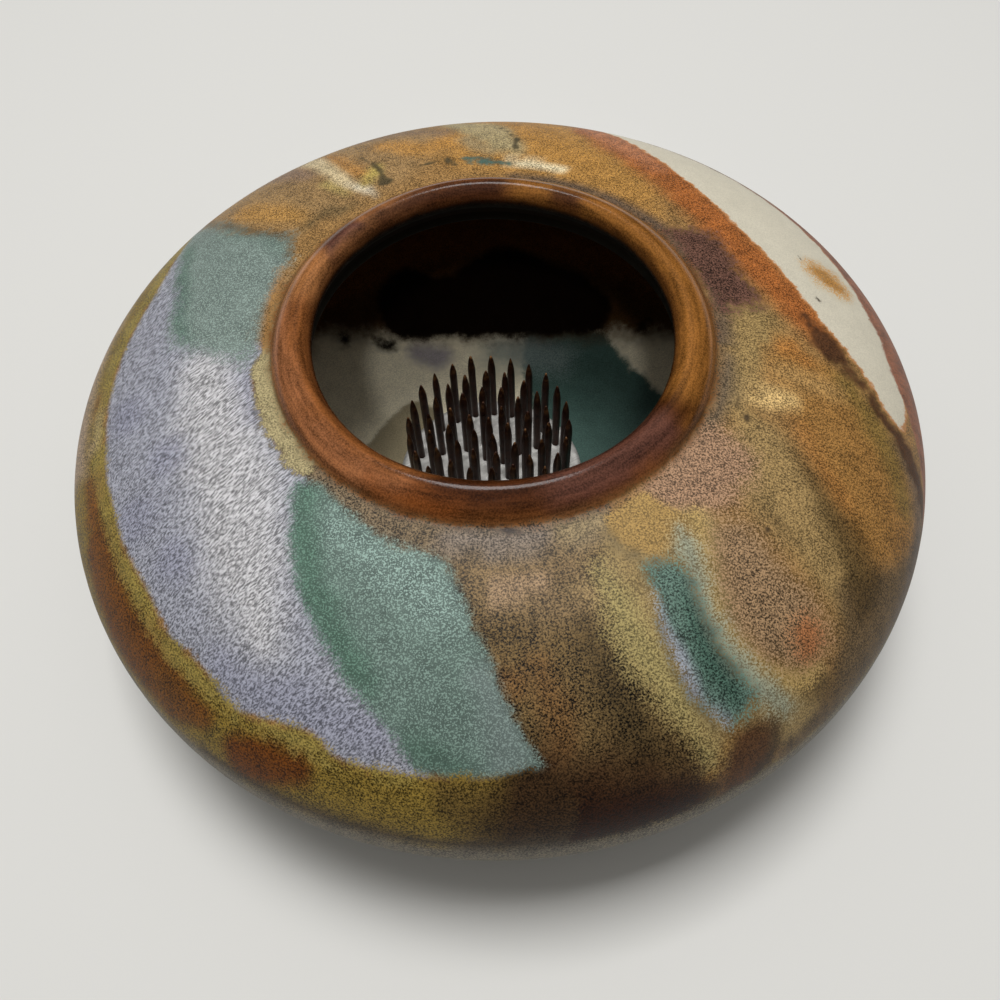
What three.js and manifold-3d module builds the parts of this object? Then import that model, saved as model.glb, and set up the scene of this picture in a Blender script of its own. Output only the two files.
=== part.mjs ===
// A flower vase of wheel-thrown stoneware, shaped like a flattened lens with a rolled lip,
// and the pin frog that stands loose on its floor: a cast disc holding upright needles.
// Units are millimetres and +Z is up. The origin is the centre of the foot, on the table.

import * as THREE from 'three';
import { mergeVertices } from 'three/addons/utils/BufferGeometryUtils.js';
import Module from 'manifold-3d';

const wasm = await Module();
wasm.setup();

// Vase: outside
const EQUATOR_RADIUS = 76; // the widest circle of the body
const EQUATOR_HEIGHT = 28; // its height above the table
const DOME_RISE = 30; // from the equator to where the shoulder curve would cross the axis
const DOME_FULLNESS = 2.43; // exponent of the shoulder curve: 2 is an ellipse, more is squarer
const BOWL_FULLNESS = 1.6; // exponent of the underside curve: less than 2 is flatter
const FOOT_RADIUS = 36; // outer edge of the foot ring
const FOOT_HEIGHT = 2.8;
const FOOT_FLARE = 0.6; // how far the foot's top stands outside its bottom edge
const FOOT_RING_WIDTH = 5;
const FOOT_RECESS = 2.2; // depth turned out inside the foot ring

// Vase: inside
const WALL = 4.8;
const FLOOR_THICKNESS = 5; // above the recess
const FLOOR_RADIUS = 32; // the flat part of the floor

// Vase: lip
const MOUTH_RADIUS = 28.9; // the narrowest circle of the mouth
const LIP_WIDTH = 6.8; // from the mouth to the crease where the lip meets the shoulder
const LIP_RISE = 3.85; // from the crease to the top of the lip
const LIP_DROP = 1.6; // from the crease down to the lowest point of the roll
const LIP_CREST = 2.2; // from the mouth to the highest circle of the lip
const LIP_FULLNESS = 1.45; // exponent of its two flanks: less than 2 makes a narrow crest
const LIP_TUCK_DEG = 50; // how far the roll turns under itself inside the mouth

// Frog: cast disc
const FROG_THICKNESS = 7;
const FROG_MARGIN = 3.5; // from the outer needle circle to the edge
const FROG_BEVEL = 0.8;
const FROG_OFFSET_X = -1.6; // it stands a little off the vase's axis
const SEAT_GAP = 0.3; // between the disc and the floor it stands on

// Frog: needles, in circles of 6, 12, 18 and 24 around one in the middle
const NEEDLE_PITCH = 3.7; // from one circle to the next
const NEEDLE_RADIUS = 0.75;
const NEEDLE_REACH = 18.5; // above the disc
const NEEDLE_SINK = 4.5; // inside the disc
const NEEDLE_POINT = 5.5; // length of the tapered point
const NEEDLE_TIP_RADIUS = 0.15;
const NEEDLES_PER_CIRCLE_STEP = 6;
const SOCKET_CLEARANCE = 0.1; // around and below a needle in its socket
const CORE_TURN_DEG = -17;
const CIRCLES = [
  { name: 'inner', step: 2, turnDeg: 8 },
  { name: 'middle', step: 3, turnDeg: -9 },
  { name: 'outer', step: 4, turnDeg: -4 },
];

// Frog: the middle needle and the six around it stand on one small plate, let in from below
const CORE_PLATE_THICKNESS = 1.2;
const CORE_PLATE_MARGIN = 1.2; // from the needles' sides to the edge of the plate

// Facets
const VASE_SIDES = 60;
const DISC_SIDES = 48;
const NEEDLE_SIDES = 8;
const BOWL_STEPS = 8;
const DOME_STEPS = 11;
const LIP_OUTER_STEPS = 5;
const LIP_INNER_STEPS = 4;
const LIP_TUCK_STEPS = 3;
const INSIDE_STEPS = 8;

// Materials
const glaze = new THREE.MeshStandardMaterial({ color: 0x9c7d4c, roughness: 0.5, metalness: 0 });
const lead = new THREE.MeshStandardMaterial({ color: 0xc4c2ba, roughness: 0.6, metalness: 0.3 });
const darkBrass = new THREE.MeshStandardMaterial({ color: 0x2e1c12, roughness: 0.4, metalness: 0.8 });

// A solid turned about +Z from [radius, height] pairs that start and end on the axis.
function turned(profile, sides) {
  const points = profile.map(([radius, height]) => new THREE.Vector2(radius, height));
  return new THREE.LatheGeometry(points, sides).rotateX(Math.PI / 2);
}

// A geometry as a solid that can be joined and cut.
function toSolid(geometry) {
  const bare = geometry.clone();
  bare.deleteAttribute('normal');
  bare.deleteAttribute('uv');
  const merged = mergeVertices(bare, 1e-4);
  return new wasm.Manifold(
    new wasm.Mesh({
      numProp: 3,
      vertProperties: new Float32Array(merged.attributes.position.array),
      triVerts: new Uint32Array(merged.index.array),
    }),
  );
}

// A joined or cut solid as a geometry again.
function toGeometry(solid) {
  const mesh = solid.getMesh();
  const geometry = new THREE.BufferGeometry();
  geometry.setAttribute('position', new THREE.BufferAttribute(mesh.vertProperties, 3));
  geometry.setIndex(new THREE.BufferAttribute(mesh.triVerts, 1));
  geometry.computeVertexNormals();
  return geometry;
}

function named(name, geometry, material) {
  const mesh = new THREE.Mesh(geometry, material);
  mesh.name = name;
  return mesh;
}

// Points on a quarter of a superellipse, from its widest circle to where its radius is `endRadius`.
// `rise` is the height at the axis: above the widest circle, or below it where it is negative.
function superellipse(radius, rise, fullness, endRadius, baseHeight, steps) {
  const power = 2 / fullness;
  const endAngle = Math.acos((endRadius / radius) ** (1 / power));
  const points = [];
  for (let i = 0; i <= steps; i++) {
    const angle = (endAngle * i) / steps;
    points.push([radius * Math.cos(angle) ** power, baseHeight + rise * Math.sin(angle) ** power]);
  }
  return points;
}

// The height at the axis of a superellipse that falls by `drop` between its widest circle and `atRadius`.
function riseThrough(radius, fullness, atRadius, drop) {
  return drop / (1 - (atRadius / radius) ** fullness) ** (1 / fullness);
}

// The lip: a flank from the crease up to the crest, another down to the mouth, and a last stretch of
// an ellipse that turns under.
function lipRoll(creaseHeight) {
  const power = 2 / LIP_FULLNESS;
  const crestRadius = MOUTH_RADIUS + LIP_CREST;
  const outerWidth = LIP_WIDTH - LIP_CREST;
  const halfWidth = LIP_WIDTH / 2;
  const halfHeight = (LIP_RISE + LIP_DROP) / 2;
  const mouthHeight = creaseHeight + LIP_RISE - halfHeight;
  const points = [];
  for (let i = 1; i <= LIP_OUTER_STEPS; i++) {
    const angle = (Math.PI / 2) * (i / LIP_OUTER_STEPS);
    const across = i < LIP_OUTER_STEPS ? Math.cos(angle) ** power : 0;
    points.push([crestRadius + outerWidth * across, creaseHeight + LIP_RISE * Math.sin(angle) ** power]);
  }
  for (let i = 1; i <= LIP_INNER_STEPS; i++) {
    const angle = (Math.PI / 2) * (1 - i / LIP_INNER_STEPS);
    points.push([
      crestRadius - LIP_CREST * Math.cos(angle) ** power,
      mouthHeight + halfHeight * Math.sin(angle) ** power,
    ]);
  }
  for (let i = 1; i <= LIP_TUCK_STEPS; i++) {
    const angle = THREE.MathUtils.degToRad(LIP_TUCK_DEG) * (i / LIP_TUCK_STEPS);
    points.push([
      MOUTH_RADIUS + halfWidth * (1 - Math.cos(angle)),
      mouthHeight - halfHeight * Math.sin(angle),
    ]);
  }
  return points;
}

const floorHeight = FOOT_RECESS + FLOOR_THICKNESS;

function vaseBody() {
  const bowlRadius = FOOT_RADIUS + FOOT_FLARE;
  const bowlDrop = riseThrough(EQUATOR_RADIUS, BOWL_FULLNESS, bowlRadius, EQUATOR_HEIGHT - FOOT_HEIGHT);
  const creaseRadius = MOUTH_RADIUS + LIP_WIDTH;
  const insideRadius = EQUATOR_RADIUS - WALL;
  const insideRise = DOME_RISE - WALL;
  const insideDrop = riseThrough(insideRadius, BOWL_FULLNESS, FLOOR_RADIUS, EQUATOR_HEIGHT - floorHeight);

  const bowl = superellipse(EQUATOR_RADIUS, -bowlDrop, BOWL_FULLNESS, bowlRadius, EQUATOR_HEIGHT, BOWL_STEPS);
  const dome = superellipse(EQUATOR_RADIUS, DOME_RISE, DOME_FULLNESS, creaseRadius, EQUATOR_HEIGHT, DOME_STEPS);
  const lip = lipRoll(dome.at(-1)[1]);
  const throatRadius = lip.at(-1)[0];
  const insideDome = superellipse(
    insideRadius, insideRise, DOME_FULLNESS, throatRadius, EQUATOR_HEIGHT, INSIDE_STEPS,
  );
  const insideBowl = superellipse(
    insideRadius, -insideDrop, BOWL_FULLNESS, FLOOR_RADIUS, EQUATOR_HEIGHT, INSIDE_STEPS,
  );
  const foot = [
    [0, FOOT_RECESS],
    [FOOT_RADIUS - FOOT_RING_WIDTH, FOOT_RECESS],
    [FOOT_RADIUS - FOOT_RING_WIDTH, 0],
    [FOOT_RADIUS, 0],
  ];
  const profile = [
    ...foot,
    ...bowl.reverse(),
    ...dome.slice(1),
    ...lip,
    ...insideDome.reverse(),
    ...insideBowl.slice(1),
    [0, floorHeight],
  ];
  return named('vase_body', turned(profile, VASE_SIDES), glaze);
}

// A needle standing on z = 0, with its point at the top.
function needleGeometry(length) {
  return turned(
    [
      [0, 0],
      [NEEDLE_RADIUS, 0],
      [NEEDLE_RADIUS, length - NEEDLE_POINT],
      [NEEDLE_TIP_RADIUS, length],
      [0, length],
    ],
    NEEDLE_SIDES,
  );
}

// The space that a needle's shank takes out of the disc, from `bottom` to above its top.
function socketSolid(bottom, [x, y]) {
  const radius = NEEDLE_RADIUS + SOCKET_CLEARANCE;
  const top = FROG_THICKNESS + NEEDLE_RADIUS;
  const geometry = turned([[0, bottom], [radius, bottom], [radius, top], [0, top]], NEEDLE_SIDES);
  return toSolid(geometry.translate(x, y, 0));
}

// Places of the needles on one circle, which holds six more than the circle inside it.
function needlePlaces(step, turnDeg) {
  const count = NEEDLES_PER_CIRCLE_STEP * step;
  const radius = NEEDLE_PITCH * step;
  const places = [];
  for (let i = 0; i < count; i++) {
    const angle = THREE.MathUtils.degToRad(turnDeg) + (2 * Math.PI * i) / count;
    places.push([radius * Math.cos(angle), radius * Math.sin(angle)]);
  }
  return places;
}

const corePlaces = [[0, 0], ...needlePlaces(1, CORE_TURN_DEG)];
const corePlateRadius = NEEDLE_PITCH + NEEDLE_RADIUS + CORE_PLATE_MARGIN;
const frogRadius = NEEDLE_PITCH * CIRCLES.at(-1).step + FROG_MARGIN;

function frogDisc() {
  const edge = frogRadius - FROG_BEVEL;
  const blank = turned(
    [
      [0, 0],
      [edge, 0],
      [frogRadius, FROG_BEVEL],
      [frogRadius, FROG_THICKNESS - FROG_BEVEL],
      [edge, FROG_THICKNESS],
      [0, FROG_THICKNESS],
    ],
    DISC_SIDES,
  );
  let disc = toSolid(blank);
  const socketBottom = FROG_THICKNESS - NEEDLE_SINK - SOCKET_CLEARANCE;
  for (const { step, turnDeg } of CIRCLES) {
    for (const place of needlePlaces(step, turnDeg)) {
      disc = disc.subtract(socketSolid(socketBottom, place));
    }
  }
  for (const place of corePlaces) {
    disc = disc.subtract(socketSolid(-SOCKET_CLEARANCE, place));
  }
  const pocketRadius = corePlateRadius + SOCKET_CLEARANCE;
  const pocketTop = CORE_PLATE_THICKNESS + SOCKET_CLEARANCE;
  const pocket = turned(
    [[0, -SOCKET_CLEARANCE], [pocketRadius, -SOCKET_CLEARANCE], [pocketRadius, pocketTop], [0, pocketTop]],
    DISC_SIDES,
  );
  return named('frog_disc', toGeometry(disc.subtract(toSolid(pocket))), lead);
}

function needleCore() {
  const plate = turned(
    [[0, 0], [corePlateRadius, 0], [corePlateRadius, CORE_PLATE_THICKNESS], [0, CORE_PLATE_THICKNESS]],
    DISC_SIDES,
  );
  let core = toSolid(plate);
  for (const [x, y] of corePlaces) {
    core = core.add(toSolid(needleGeometry(FROG_THICKNESS + NEEDLE_REACH).translate(x, y, 0)));
  }
  return named('needle_core', toGeometry(core), darkBrass);
}

// The separate needles, circle by circle, counted from the +X side.
function needles() {
  const made = [];
  for (const { name, step, turnDeg } of CIRCLES) {
    needlePlaces(step, turnDeg).forEach(([x, y], i) => {
      const number = String(i + 1).padStart(2, '0');
      const needle = named(`needle_${name}_${number}`, needleGeometry(NEEDLE_SINK + NEEDLE_REACH), darkBrass);
      needle.position.set(x, y, FROG_THICKNESS - NEEDLE_SINK);
      made.push(needle);
    });
  }
  return made;
}

const frog = new THREE.Group();
frog.add(frogDisc(), needleCore(), ...needles());
frog.position.set(FROG_OFFSET_X, 0, floorHeight + SEAT_GAP);

const vase = new THREE.Group();
vase.add(vaseBody(), frog);

export default vase;
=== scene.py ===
# %% [markdown]
# A flower frog vase with poured glazes.
#
# The vase is one thrown and fired body, low and wide, with a rolled lip. Several glazes were poured
# over it, one across another, and a pin frog stands loose on its floor. The solids come from the
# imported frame. This lesson makes the fine surfaces around them: first the camera, then the clay form,
# then the glazes, then the frog, and last the light.

# %% Load the frame
import math

import bpy
import numpy as np
from mathutils import Matrix, Vector
from mathutils.noise import noise as noise_at


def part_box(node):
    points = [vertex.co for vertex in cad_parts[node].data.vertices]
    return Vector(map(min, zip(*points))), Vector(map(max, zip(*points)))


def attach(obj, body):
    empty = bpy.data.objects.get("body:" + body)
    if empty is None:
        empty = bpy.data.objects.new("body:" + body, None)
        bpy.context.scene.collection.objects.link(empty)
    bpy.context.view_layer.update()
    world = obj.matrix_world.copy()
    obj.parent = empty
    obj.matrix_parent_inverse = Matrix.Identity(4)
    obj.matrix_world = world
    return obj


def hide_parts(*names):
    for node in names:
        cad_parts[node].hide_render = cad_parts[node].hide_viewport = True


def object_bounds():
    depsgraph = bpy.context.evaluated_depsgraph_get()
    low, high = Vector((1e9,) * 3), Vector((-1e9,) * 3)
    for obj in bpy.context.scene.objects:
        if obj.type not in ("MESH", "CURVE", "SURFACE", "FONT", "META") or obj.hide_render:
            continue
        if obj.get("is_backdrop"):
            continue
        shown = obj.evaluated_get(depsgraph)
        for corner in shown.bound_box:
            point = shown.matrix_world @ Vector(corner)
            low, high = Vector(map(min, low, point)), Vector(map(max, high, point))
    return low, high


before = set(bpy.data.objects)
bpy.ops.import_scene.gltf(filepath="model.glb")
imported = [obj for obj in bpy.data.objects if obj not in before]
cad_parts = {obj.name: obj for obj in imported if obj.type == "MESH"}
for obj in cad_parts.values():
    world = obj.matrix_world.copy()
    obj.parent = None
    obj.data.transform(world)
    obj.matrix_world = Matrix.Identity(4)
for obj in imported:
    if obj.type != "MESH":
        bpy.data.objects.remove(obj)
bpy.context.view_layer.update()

MM = 0.001
print("nodes in the frame:", len(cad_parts))

# %% [markdown]
# The camera looks down steeply from close by, so the near side of the vase is larger than the far
# side. Its place was found by fitting the outline of the vase and both edges of the lip. The lens is
# given on a 36 mm sensor, and the small roll leans the picture to one side.

# %% Camera
CAMERA_PLACE = (-0.07 * MM, -100.69 * MM, 170.08 * MM)
CAMERA_PITCH = math.radians(58.8)
CAMERA_ROLL = math.radians(-2.6)
CAMERA_LENS = 33.264


def camera_turn(pitch, roll):
    """Axes of a camera that looks along +Y and down by pitch, then turns about its line of sight."""
    forward = Vector((0.0, math.cos(pitch), -math.sin(pitch)))
    level = Vector((1.0, 0.0, 0.0))
    upright = level.cross(forward)
    right = math.cos(roll) * level + math.sin(roll) * upright
    up = -math.sin(roll) * level + math.cos(roll) * upright
    return Matrix((right, up, -forward)).transposed()


camera = bpy.data.objects.new("camera", bpy.data.cameras.new("camera"))
camera.data.lens = CAMERA_LENS
camera.data.sensor_width = 36.0
camera.data.clip_start = 0.01
camera.matrix_world = Matrix.Translation(CAMERA_PLACE) @ camera_turn(CAMERA_PITCH, CAMERA_ROLL).to_4x4()
bpy.context.scene.collection.objects.link(camera)
bpy.context.scene.camera = camera
print("camera at", [round(v / MM, 1) for v in CAMERA_PLACE], "mm")

# %% [markdown]
# Every piece here is a surface of rings: each ring is one row of points, and rows follow a profile.
# One helper puts such a grid into a mesh. It closes the rings, and closes each end with a fan of
# triangles round a single point, so the mesh has no seam and no hole.

# %% Ring meshes


def shell(rings, first_pole, last_pole):
    """A closed shell from an array of rings (rows, columns, 3) and the two points that close its ends.

    Rows run from the first pole to the last, and columns run anticlockwise seen from the last pole. All
    are in millimetres. Returns the places, the corners of all faces in turn and the size of each face.
    """
    rows, columns, _ = rings.shape
    places = np.concatenate([rings.reshape(-1, 3), [first_pole, last_pole]])
    index = np.arange(rows * columns).reshape(rows, columns)
    beside = np.roll(index, -1, axis=1)
    quads = np.stack([index[:-1], beside[:-1], beside[1:], index[1:]], axis=-1).reshape(-1, 4)
    first, last = rows * columns, rows * columns + 1
    start = np.stack([np.full(columns, first), beside[0], index[0]], axis=-1)
    end = np.stack([np.full(columns, last), index[-1], beside[-1]], axis=-1)
    corners = np.concatenate([start.ravel(), quads.ravel(), end.ravel()])
    sizes = np.concatenate([np.full(columns, 3), np.full(len(quads), 4), np.full(columns, 3)])
    return places, corners, sizes


def solid(name, *shells):
    """One smooth mesh, in metres, from some shells."""
    starts = np.cumsum([0] + [len(places) for places, _, _ in shells])
    places = np.concatenate([places for places, _, _ in shells]) * MM
    corners = np.concatenate([corners + start for (_, corners, _), start in zip(shells, starts)])
    sizes = np.concatenate([sizes for _, _, sizes in shells])
    mesh = bpy.data.meshes.new(name)
    mesh.vertices.add(len(places))
    mesh.vertices.foreach_set("co", places.astype(np.float32).ravel())
    mesh.loops.add(len(corners))
    mesh.loops.foreach_set("vertex_index", corners.astype(np.int32))
    mesh.polygons.add(len(sizes))
    mesh.polygons.foreach_set("loop_start", (np.cumsum(sizes) - sizes).astype(np.int32))
    mesh.polygons.foreach_set("use_smooth", np.ones(len(sizes), dtype=bool))
    mesh.update(calc_edges=True)
    mesh.validate()
    return mesh


def show(name, mesh, body, replaced):
    """An object for a finished mesh, riding on its body in the place of the named nodes."""
    piece = bpy.data.objects.new(name, mesh)
    bpy.context.scene.collection.objects.link(piece)
    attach(piece, body)
    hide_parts(*replaced)
    return piece


def ring_angles(columns):
    """Angles of evenly spaced columns, anticlockwise from +X."""
    return np.linspace(0.0, 2.0 * np.pi, columns, endpoint=False)


print("ring meshes have no seam")

# %% [markdown]
# The clay form is a profile turned about the axis. The shoulder and the underside are quarters of
# superellipses, which stay rounder at the rim than an ellipse does. The lip is a rolled edge, and the
# inside follows the outside at the thickness of the wall. Real clay has no sharp corner anywhere, so
# the whole profile is sampled finely and then softened by a moving average.

# %% Vase sizes, in millimetres
vase_low, vase_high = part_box("vase_body")
EQUATOR_RADIUS = (vase_high[0] - vase_low[0]) / 2 / MM
VASE_HEIGHT = vase_high[2] / MM
EQUATOR_HEIGHT = 28.0
DOME_RISE = 30.0
DOME_FULLNESS = 2.43
BOWL_FULLNESS = 1.6
FOOT_RADIUS = 36.0
FOOT_HEIGHT = 2.8
FOOT_FLARE = 0.6
FOOT_RING_WIDTH = 5.0
FOOT_RECESS = 2.2
WALL = 4.8
FLOOR_HEIGHT = 7.2
FLOOR_RADIUS = 32.0
MOUTH_RADIUS = 28.9
LIP_WIDTH = 6.8
LIP_RISE = 3.85
LIP_DROP = 1.6
LIP_CREST = 2.2
LIP_FULLNESS = 1.45
LIP_TUCK = math.radians(50)
CREASE_RADIUS = MOUTH_RADIUS + LIP_WIDTH
print("vase", round(2 * EQUATOR_RADIUS, 1), "mm across and", round(VASE_HEIGHT, 1), "mm high")

# %% Vase profile
OUTSIDE_POINTS = 300
LIP_POINTS = 60
INSIDE_POINTS = 200


def quarter(radius, rise, fullness, from_radius, to_radius, count):
    """Points of a superellipse quarter: radius times cos(a)^p, rise times sin(a)^p, with p = 2 / fullness."""
    power = 2.0 / fullness
    limits = [math.acos(min(1.0, r / radius) ** (1.0 / power)) for r in (from_radius, to_radius)]
    angle = np.linspace(*limits, count)
    across = radius * np.cos(angle) ** power
    return np.stack([across, EQUATOR_HEIGHT + rise * np.sin(angle) ** power], axis=1)


def drop_through(radius, fullness, at_radius, drop):
    """Depth at the axis of a superellipse that falls by drop between its widest circle and at_radius."""
    return drop / (1.0 - (at_radius / radius) ** fullness) ** (1.0 / fullness)


def lip_roll(crease_height, count):
    """The lip: a flank up to a narrow crest, a flank down to the mouth, and an ellipse that tucks under.

    Each flank is a superellipse quarter, width times cos(a)^p and height times sin(a)^p.
    """
    power = 2.0 / LIP_FULLNESS
    half_height = (LIP_RISE + LIP_DROP) / 2
    mouth_height = crease_height + LIP_RISE - half_height
    crest = MOUTH_RADIUS + LIP_CREST
    turn = np.linspace(0.0, math.pi / 2, count)
    wide, tall = np.clip(np.cos(turn), 0, 1) ** power, np.sin(turn) ** power
    outer = np.stack([crest + (LIP_WIDTH - LIP_CREST) * wide, crease_height + LIP_RISE * tall], axis=1)
    inner = np.stack([crest - LIP_CREST * wide, mouth_height + half_height * tall], axis=1)[::-1]
    under = np.linspace(0.0, LIP_TUCK, count)
    across = MOUTH_RADIUS + LIP_WIDTH / 2 * (1 - np.cos(under))
    tuck = np.stack([across, mouth_height - half_height * np.sin(under)], axis=1)
    return np.concatenate([outer, inner[1:], tuck[1:]])


def resampled(points, step):
    """The polyline at an even step along its length, with the last point kept."""
    length = np.concatenate([[0.0], np.cumsum(np.hypot(*np.diff(points, axis=0).T))])
    at = np.linspace(0.0, length[-1], int(length[-1] / step) + 1)
    return np.stack([np.interp(at, length, points[:, k]) for k in (0, 1)], axis=1)


def softened(points, step, reach):
    """Moving average of an even polyline, weighted by a bell of the given reach; both ends are mirrored."""
    half = int(3 * reach / step)
    bell = np.exp(-0.5 * (np.arange(-half, half + 1) * step / reach) ** 2)
    bell /= bell.sum()
    head = points[half:0:-1] * [-1, 1]
    tail = points[-2:-half - 2:-1] * [-1, 1]
    padded = np.concatenate([head, points, tail])
    return np.stack([np.convolve(padded[:, k], bell, mode="valid") for k in (0, 1)], axis=1)


def vase_profile():
    """The whole section from the axis under the foot, round the outside and the lip, to the floor's middle.

    Returns the section, and the two parts of it that end at the crease and at the lip's tucked edge.
    """
    bowl_radius = FOOT_RADIUS + FOOT_FLARE
    bowl_drop = drop_through(EQUATOR_RADIUS, BOWL_FULLNESS, bowl_radius, EQUATOR_HEIGHT - FOOT_HEIGHT)
    inside_radius = EQUATOR_RADIUS - WALL
    inside_drop = drop_through(inside_radius, BOWL_FULLNESS, FLOOR_RADIUS, EQUATOR_HEIGHT - FLOOR_HEIGHT)
    ring_inside = FOOT_RADIUS - FOOT_RING_WIDTH
    foot = np.array([[0, FOOT_RECESS], [ring_inside, FOOT_RECESS], [ring_inside, 0], [FOOT_RADIUS, 0]])
    bowl = quarter(EQUATOR_RADIUS, -bowl_drop, BOWL_FULLNESS, bowl_radius, EQUATOR_RADIUS, OUTSIDE_POINTS)
    dome = quarter(EQUATOR_RADIUS, DOME_RISE, DOME_FULLNESS, EQUATOR_RADIUS, CREASE_RADIUS, OUTSIDE_POINTS)
    lip = lip_roll(dome[-1, 1], LIP_POINTS)
    throat = lip[-1, 0]
    ceiling = quarter(inside_radius, DOME_RISE - WALL, DOME_FULLNESS, throat, inside_radius, INSIDE_POINTS)
    basin = quarter(inside_radius, -inside_drop, BOWL_FULLNESS, inside_radius, FLOOR_RADIUS, INSIDE_POINTS)
    outside = np.concatenate([foot, bowl, dome[1:]])
    section = np.concatenate([outside, lip[1:], ceiling, basin[1:], [[0, FLOOR_HEIGHT]]])
    return section, outside, lip


PROFILE_STEP = 0.05
CORNER_REACH = 0.42
section, outside, lip = vase_profile()
fine = resampled(section, PROFILE_STEP)
crease_at = np.hypot(*np.diff(outside, axis=0).T).sum()
tuck_at = crease_at + np.hypot(*np.diff(lip, axis=0).T).sum()
profile = softened(fine, PROFILE_STEP, CORNER_REACH)
along = np.linspace(0.0, PROFILE_STEP * (len(profile) - 1), len(profile))
print("profile", round(along[-1]), "mm long")
print("crease at", round(crease_at, 1), "mm and lip's end at", round(tuck_at, 1), "mm along it")

# %% [markdown]
# Points are spread along the profile where the shape needs them: close together where it bends, as
# round the lip and the foot, and wider apart on the broad shoulder. The share of points is the length
# plus a term for the bend, and each ring takes an equal share.

# %% Rings of the vase
RING_COUNT = 186
COLUMN_COUNT = 520
BEND_WEIGHT = 9.0


def spread_by_bend(points, positions, count):
    """Positions of count points with an equal share each of length + BEND_WEIGHT times turning angle."""
    heading = np.unwrap(np.arctan2(*np.gradient(points, axis=0).T[::-1]))
    share = np.gradient(positions) + BEND_WEIGHT * np.abs(np.gradient(heading))
    total = np.concatenate([[0.0], np.cumsum((share[1:] + share[:-1]) / 2)])
    return np.interp(np.linspace(0.0, total[-1], count + 2)[1:-1], total, positions)


ring_at = spread_by_bend(profile, along, RING_COUNT)
ring_radius = np.interp(ring_at, along, profile[:, 0])
ring_height = np.interp(ring_at, along, profile[:, 1])
angles = ring_angles(COLUMN_COUNT)
print("rings", RING_COUNT, "and columns", COLUMN_COUNT)

# %% [markdown]
# A thrown pot is never quite round or level. Slow waves in the radius and the height, each under a
# millimetre, grow from nothing at the foot to their full size at the lip. The largest tilts the lip,
# which stands higher at the back. The potter's fingers leave a low spiral on the inside.

# %% Thrown irregularity
RADIUS_WAVES = ((2, 0.22, 0.6), (3, 0.12, 2.1), (5, 0.06, 4.0))
HEIGHT_WAVES = ((1, 0.95, -math.pi / 2), (2, 0.16, 1.3), (3, 0.12, 5.2), (7, 0.05, 0.4))
FINGER_RIDGE = 0.09
FINGER_PITCH = 4.2
FINGER_START = 4.0
FINGER_FADE = 8.0
LIFT_POWER = 1.5


def waves(terms):
    """Sum of size * cos(count * angle + phase) over the given terms."""
    return sum(size * np.cos(count * angles + phase) for count, size, phase in terms)


lift = np.clip(ring_height / VASE_HEIGHT, 0, 1)[:, None] ** LIFT_POWER
inner = np.clip((ring_at - tuck_at - FINGER_START) / FINGER_FADE, 0, 1)[:, None]
spiral = np.cos(2 * np.pi * ring_at[:, None] / FINGER_PITCH + angles)
radius_grid = ring_radius[:, None] + lift * waves(RADIUS_WAVES)
height_grid = ring_height[:, None] + lift * waves(HEIGHT_WAVES) + inner * FINGER_RIDGE * spiral
rings = np.stack([radius_grid * np.cos(angles), radius_grid * np.sin(angles), height_grid], axis=-1)
foot_pole = (0.0, 0.0, profile[0, 1])
floor_pole = (0.0, 0.0, profile[-1, 1])
vase_mesh = solid("stoneware_vase", shell(rings, foot_pole, floor_pole))
vase = show("stoneware_vase", vase_mesh, "vase", ["vase_body"])
print("stoneware_vase has", len(vase_mesh.polygons), "faces")

# %% [markdown]
# The glazes are laid out on the vase's flattened skin, as a peel would lie on a table. A point of the
# skin keeps its direction from the axis, and its distance from the middle is measured along the
# surface. So X and Y there are in millimetres, the lip's crease is a circle, and the widest part of
# the vase is a larger circle. The inside has a skin of its own, measured from the middle of the floor.

# %% Flattened skins
outer_length = CREASE_RADIUS + crease_at - ring_at
inner_length = along[-1] - ring_at
EQUATOR_LENGTH = CREASE_RADIUS + crease_at - ring_at[np.argmax(ring_radius)]


def flattened(length):
    """Skin points (vertices, 2): length times (cos, sin) of the angle, with the two poles at the middle."""
    flat = np.stack([np.outer(length, np.cos(angles)), np.outer(length, np.sin(angles))], axis=-1)
    return np.concatenate([flat.reshape(-1, 2), np.zeros((2, 2))])


outer_skin = flattened(outer_length)
inner_skin = flattened(inner_length)
print("the equator lies", round(EQUATOR_LENGTH, 1), "mm out on the skin")

# %% [markdown]
# A poured area is an outline, a stream, a spot or an arc. An outline is a few points round an area,
# joined by a smooth closed curve. A stream is a path with a half-width at each point, as a glaze runs,
# and an arc is a part of a ring. Each gives every vertex one number: how far inside the edge it lies,
# in millimetres, and negative outside. The materials read these numbers and break the edges up with
# noise, so an edge can be far finer than the mesh.

# %% Poured areas
CURVE_STEPS = 6
TINY = 1e-9


def smooth_loop(points):
    """A closed Catmull-Rom curve through the points, with CURVE_STEPS steps to each."""
    p = np.asarray(points, dtype=float)
    before, after, beyond = np.roll(p, 1, 0), np.roll(p, -1, 0), np.roll(p, -2, 0)
    t = np.linspace(0.0, 1.0, CURVE_STEPS, endpoint=False)[:, None, None]
    curve = p + 0.5 * t * (after - before)
    curve = curve + t**2 * (before - 2.5 * p + 2.0 * after - 0.5 * beyond)
    curve = curve + t**3 * (1.5 * (p - after) + 0.5 * (beyond - before))
    return curve.transpose(1, 0, 2).reshape(-1, 2)


def nearest_on(skin, start, end):
    """Distance from each point to a segment, and the share of the segment where the nearest point lies."""
    run = end - start
    share = np.clip(((skin - start) @ run) / max(run @ run, TINY), 0.0, 1.0)
    return np.linalg.norm(skin - start - share[:, None] * run, axis=1), share


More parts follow.
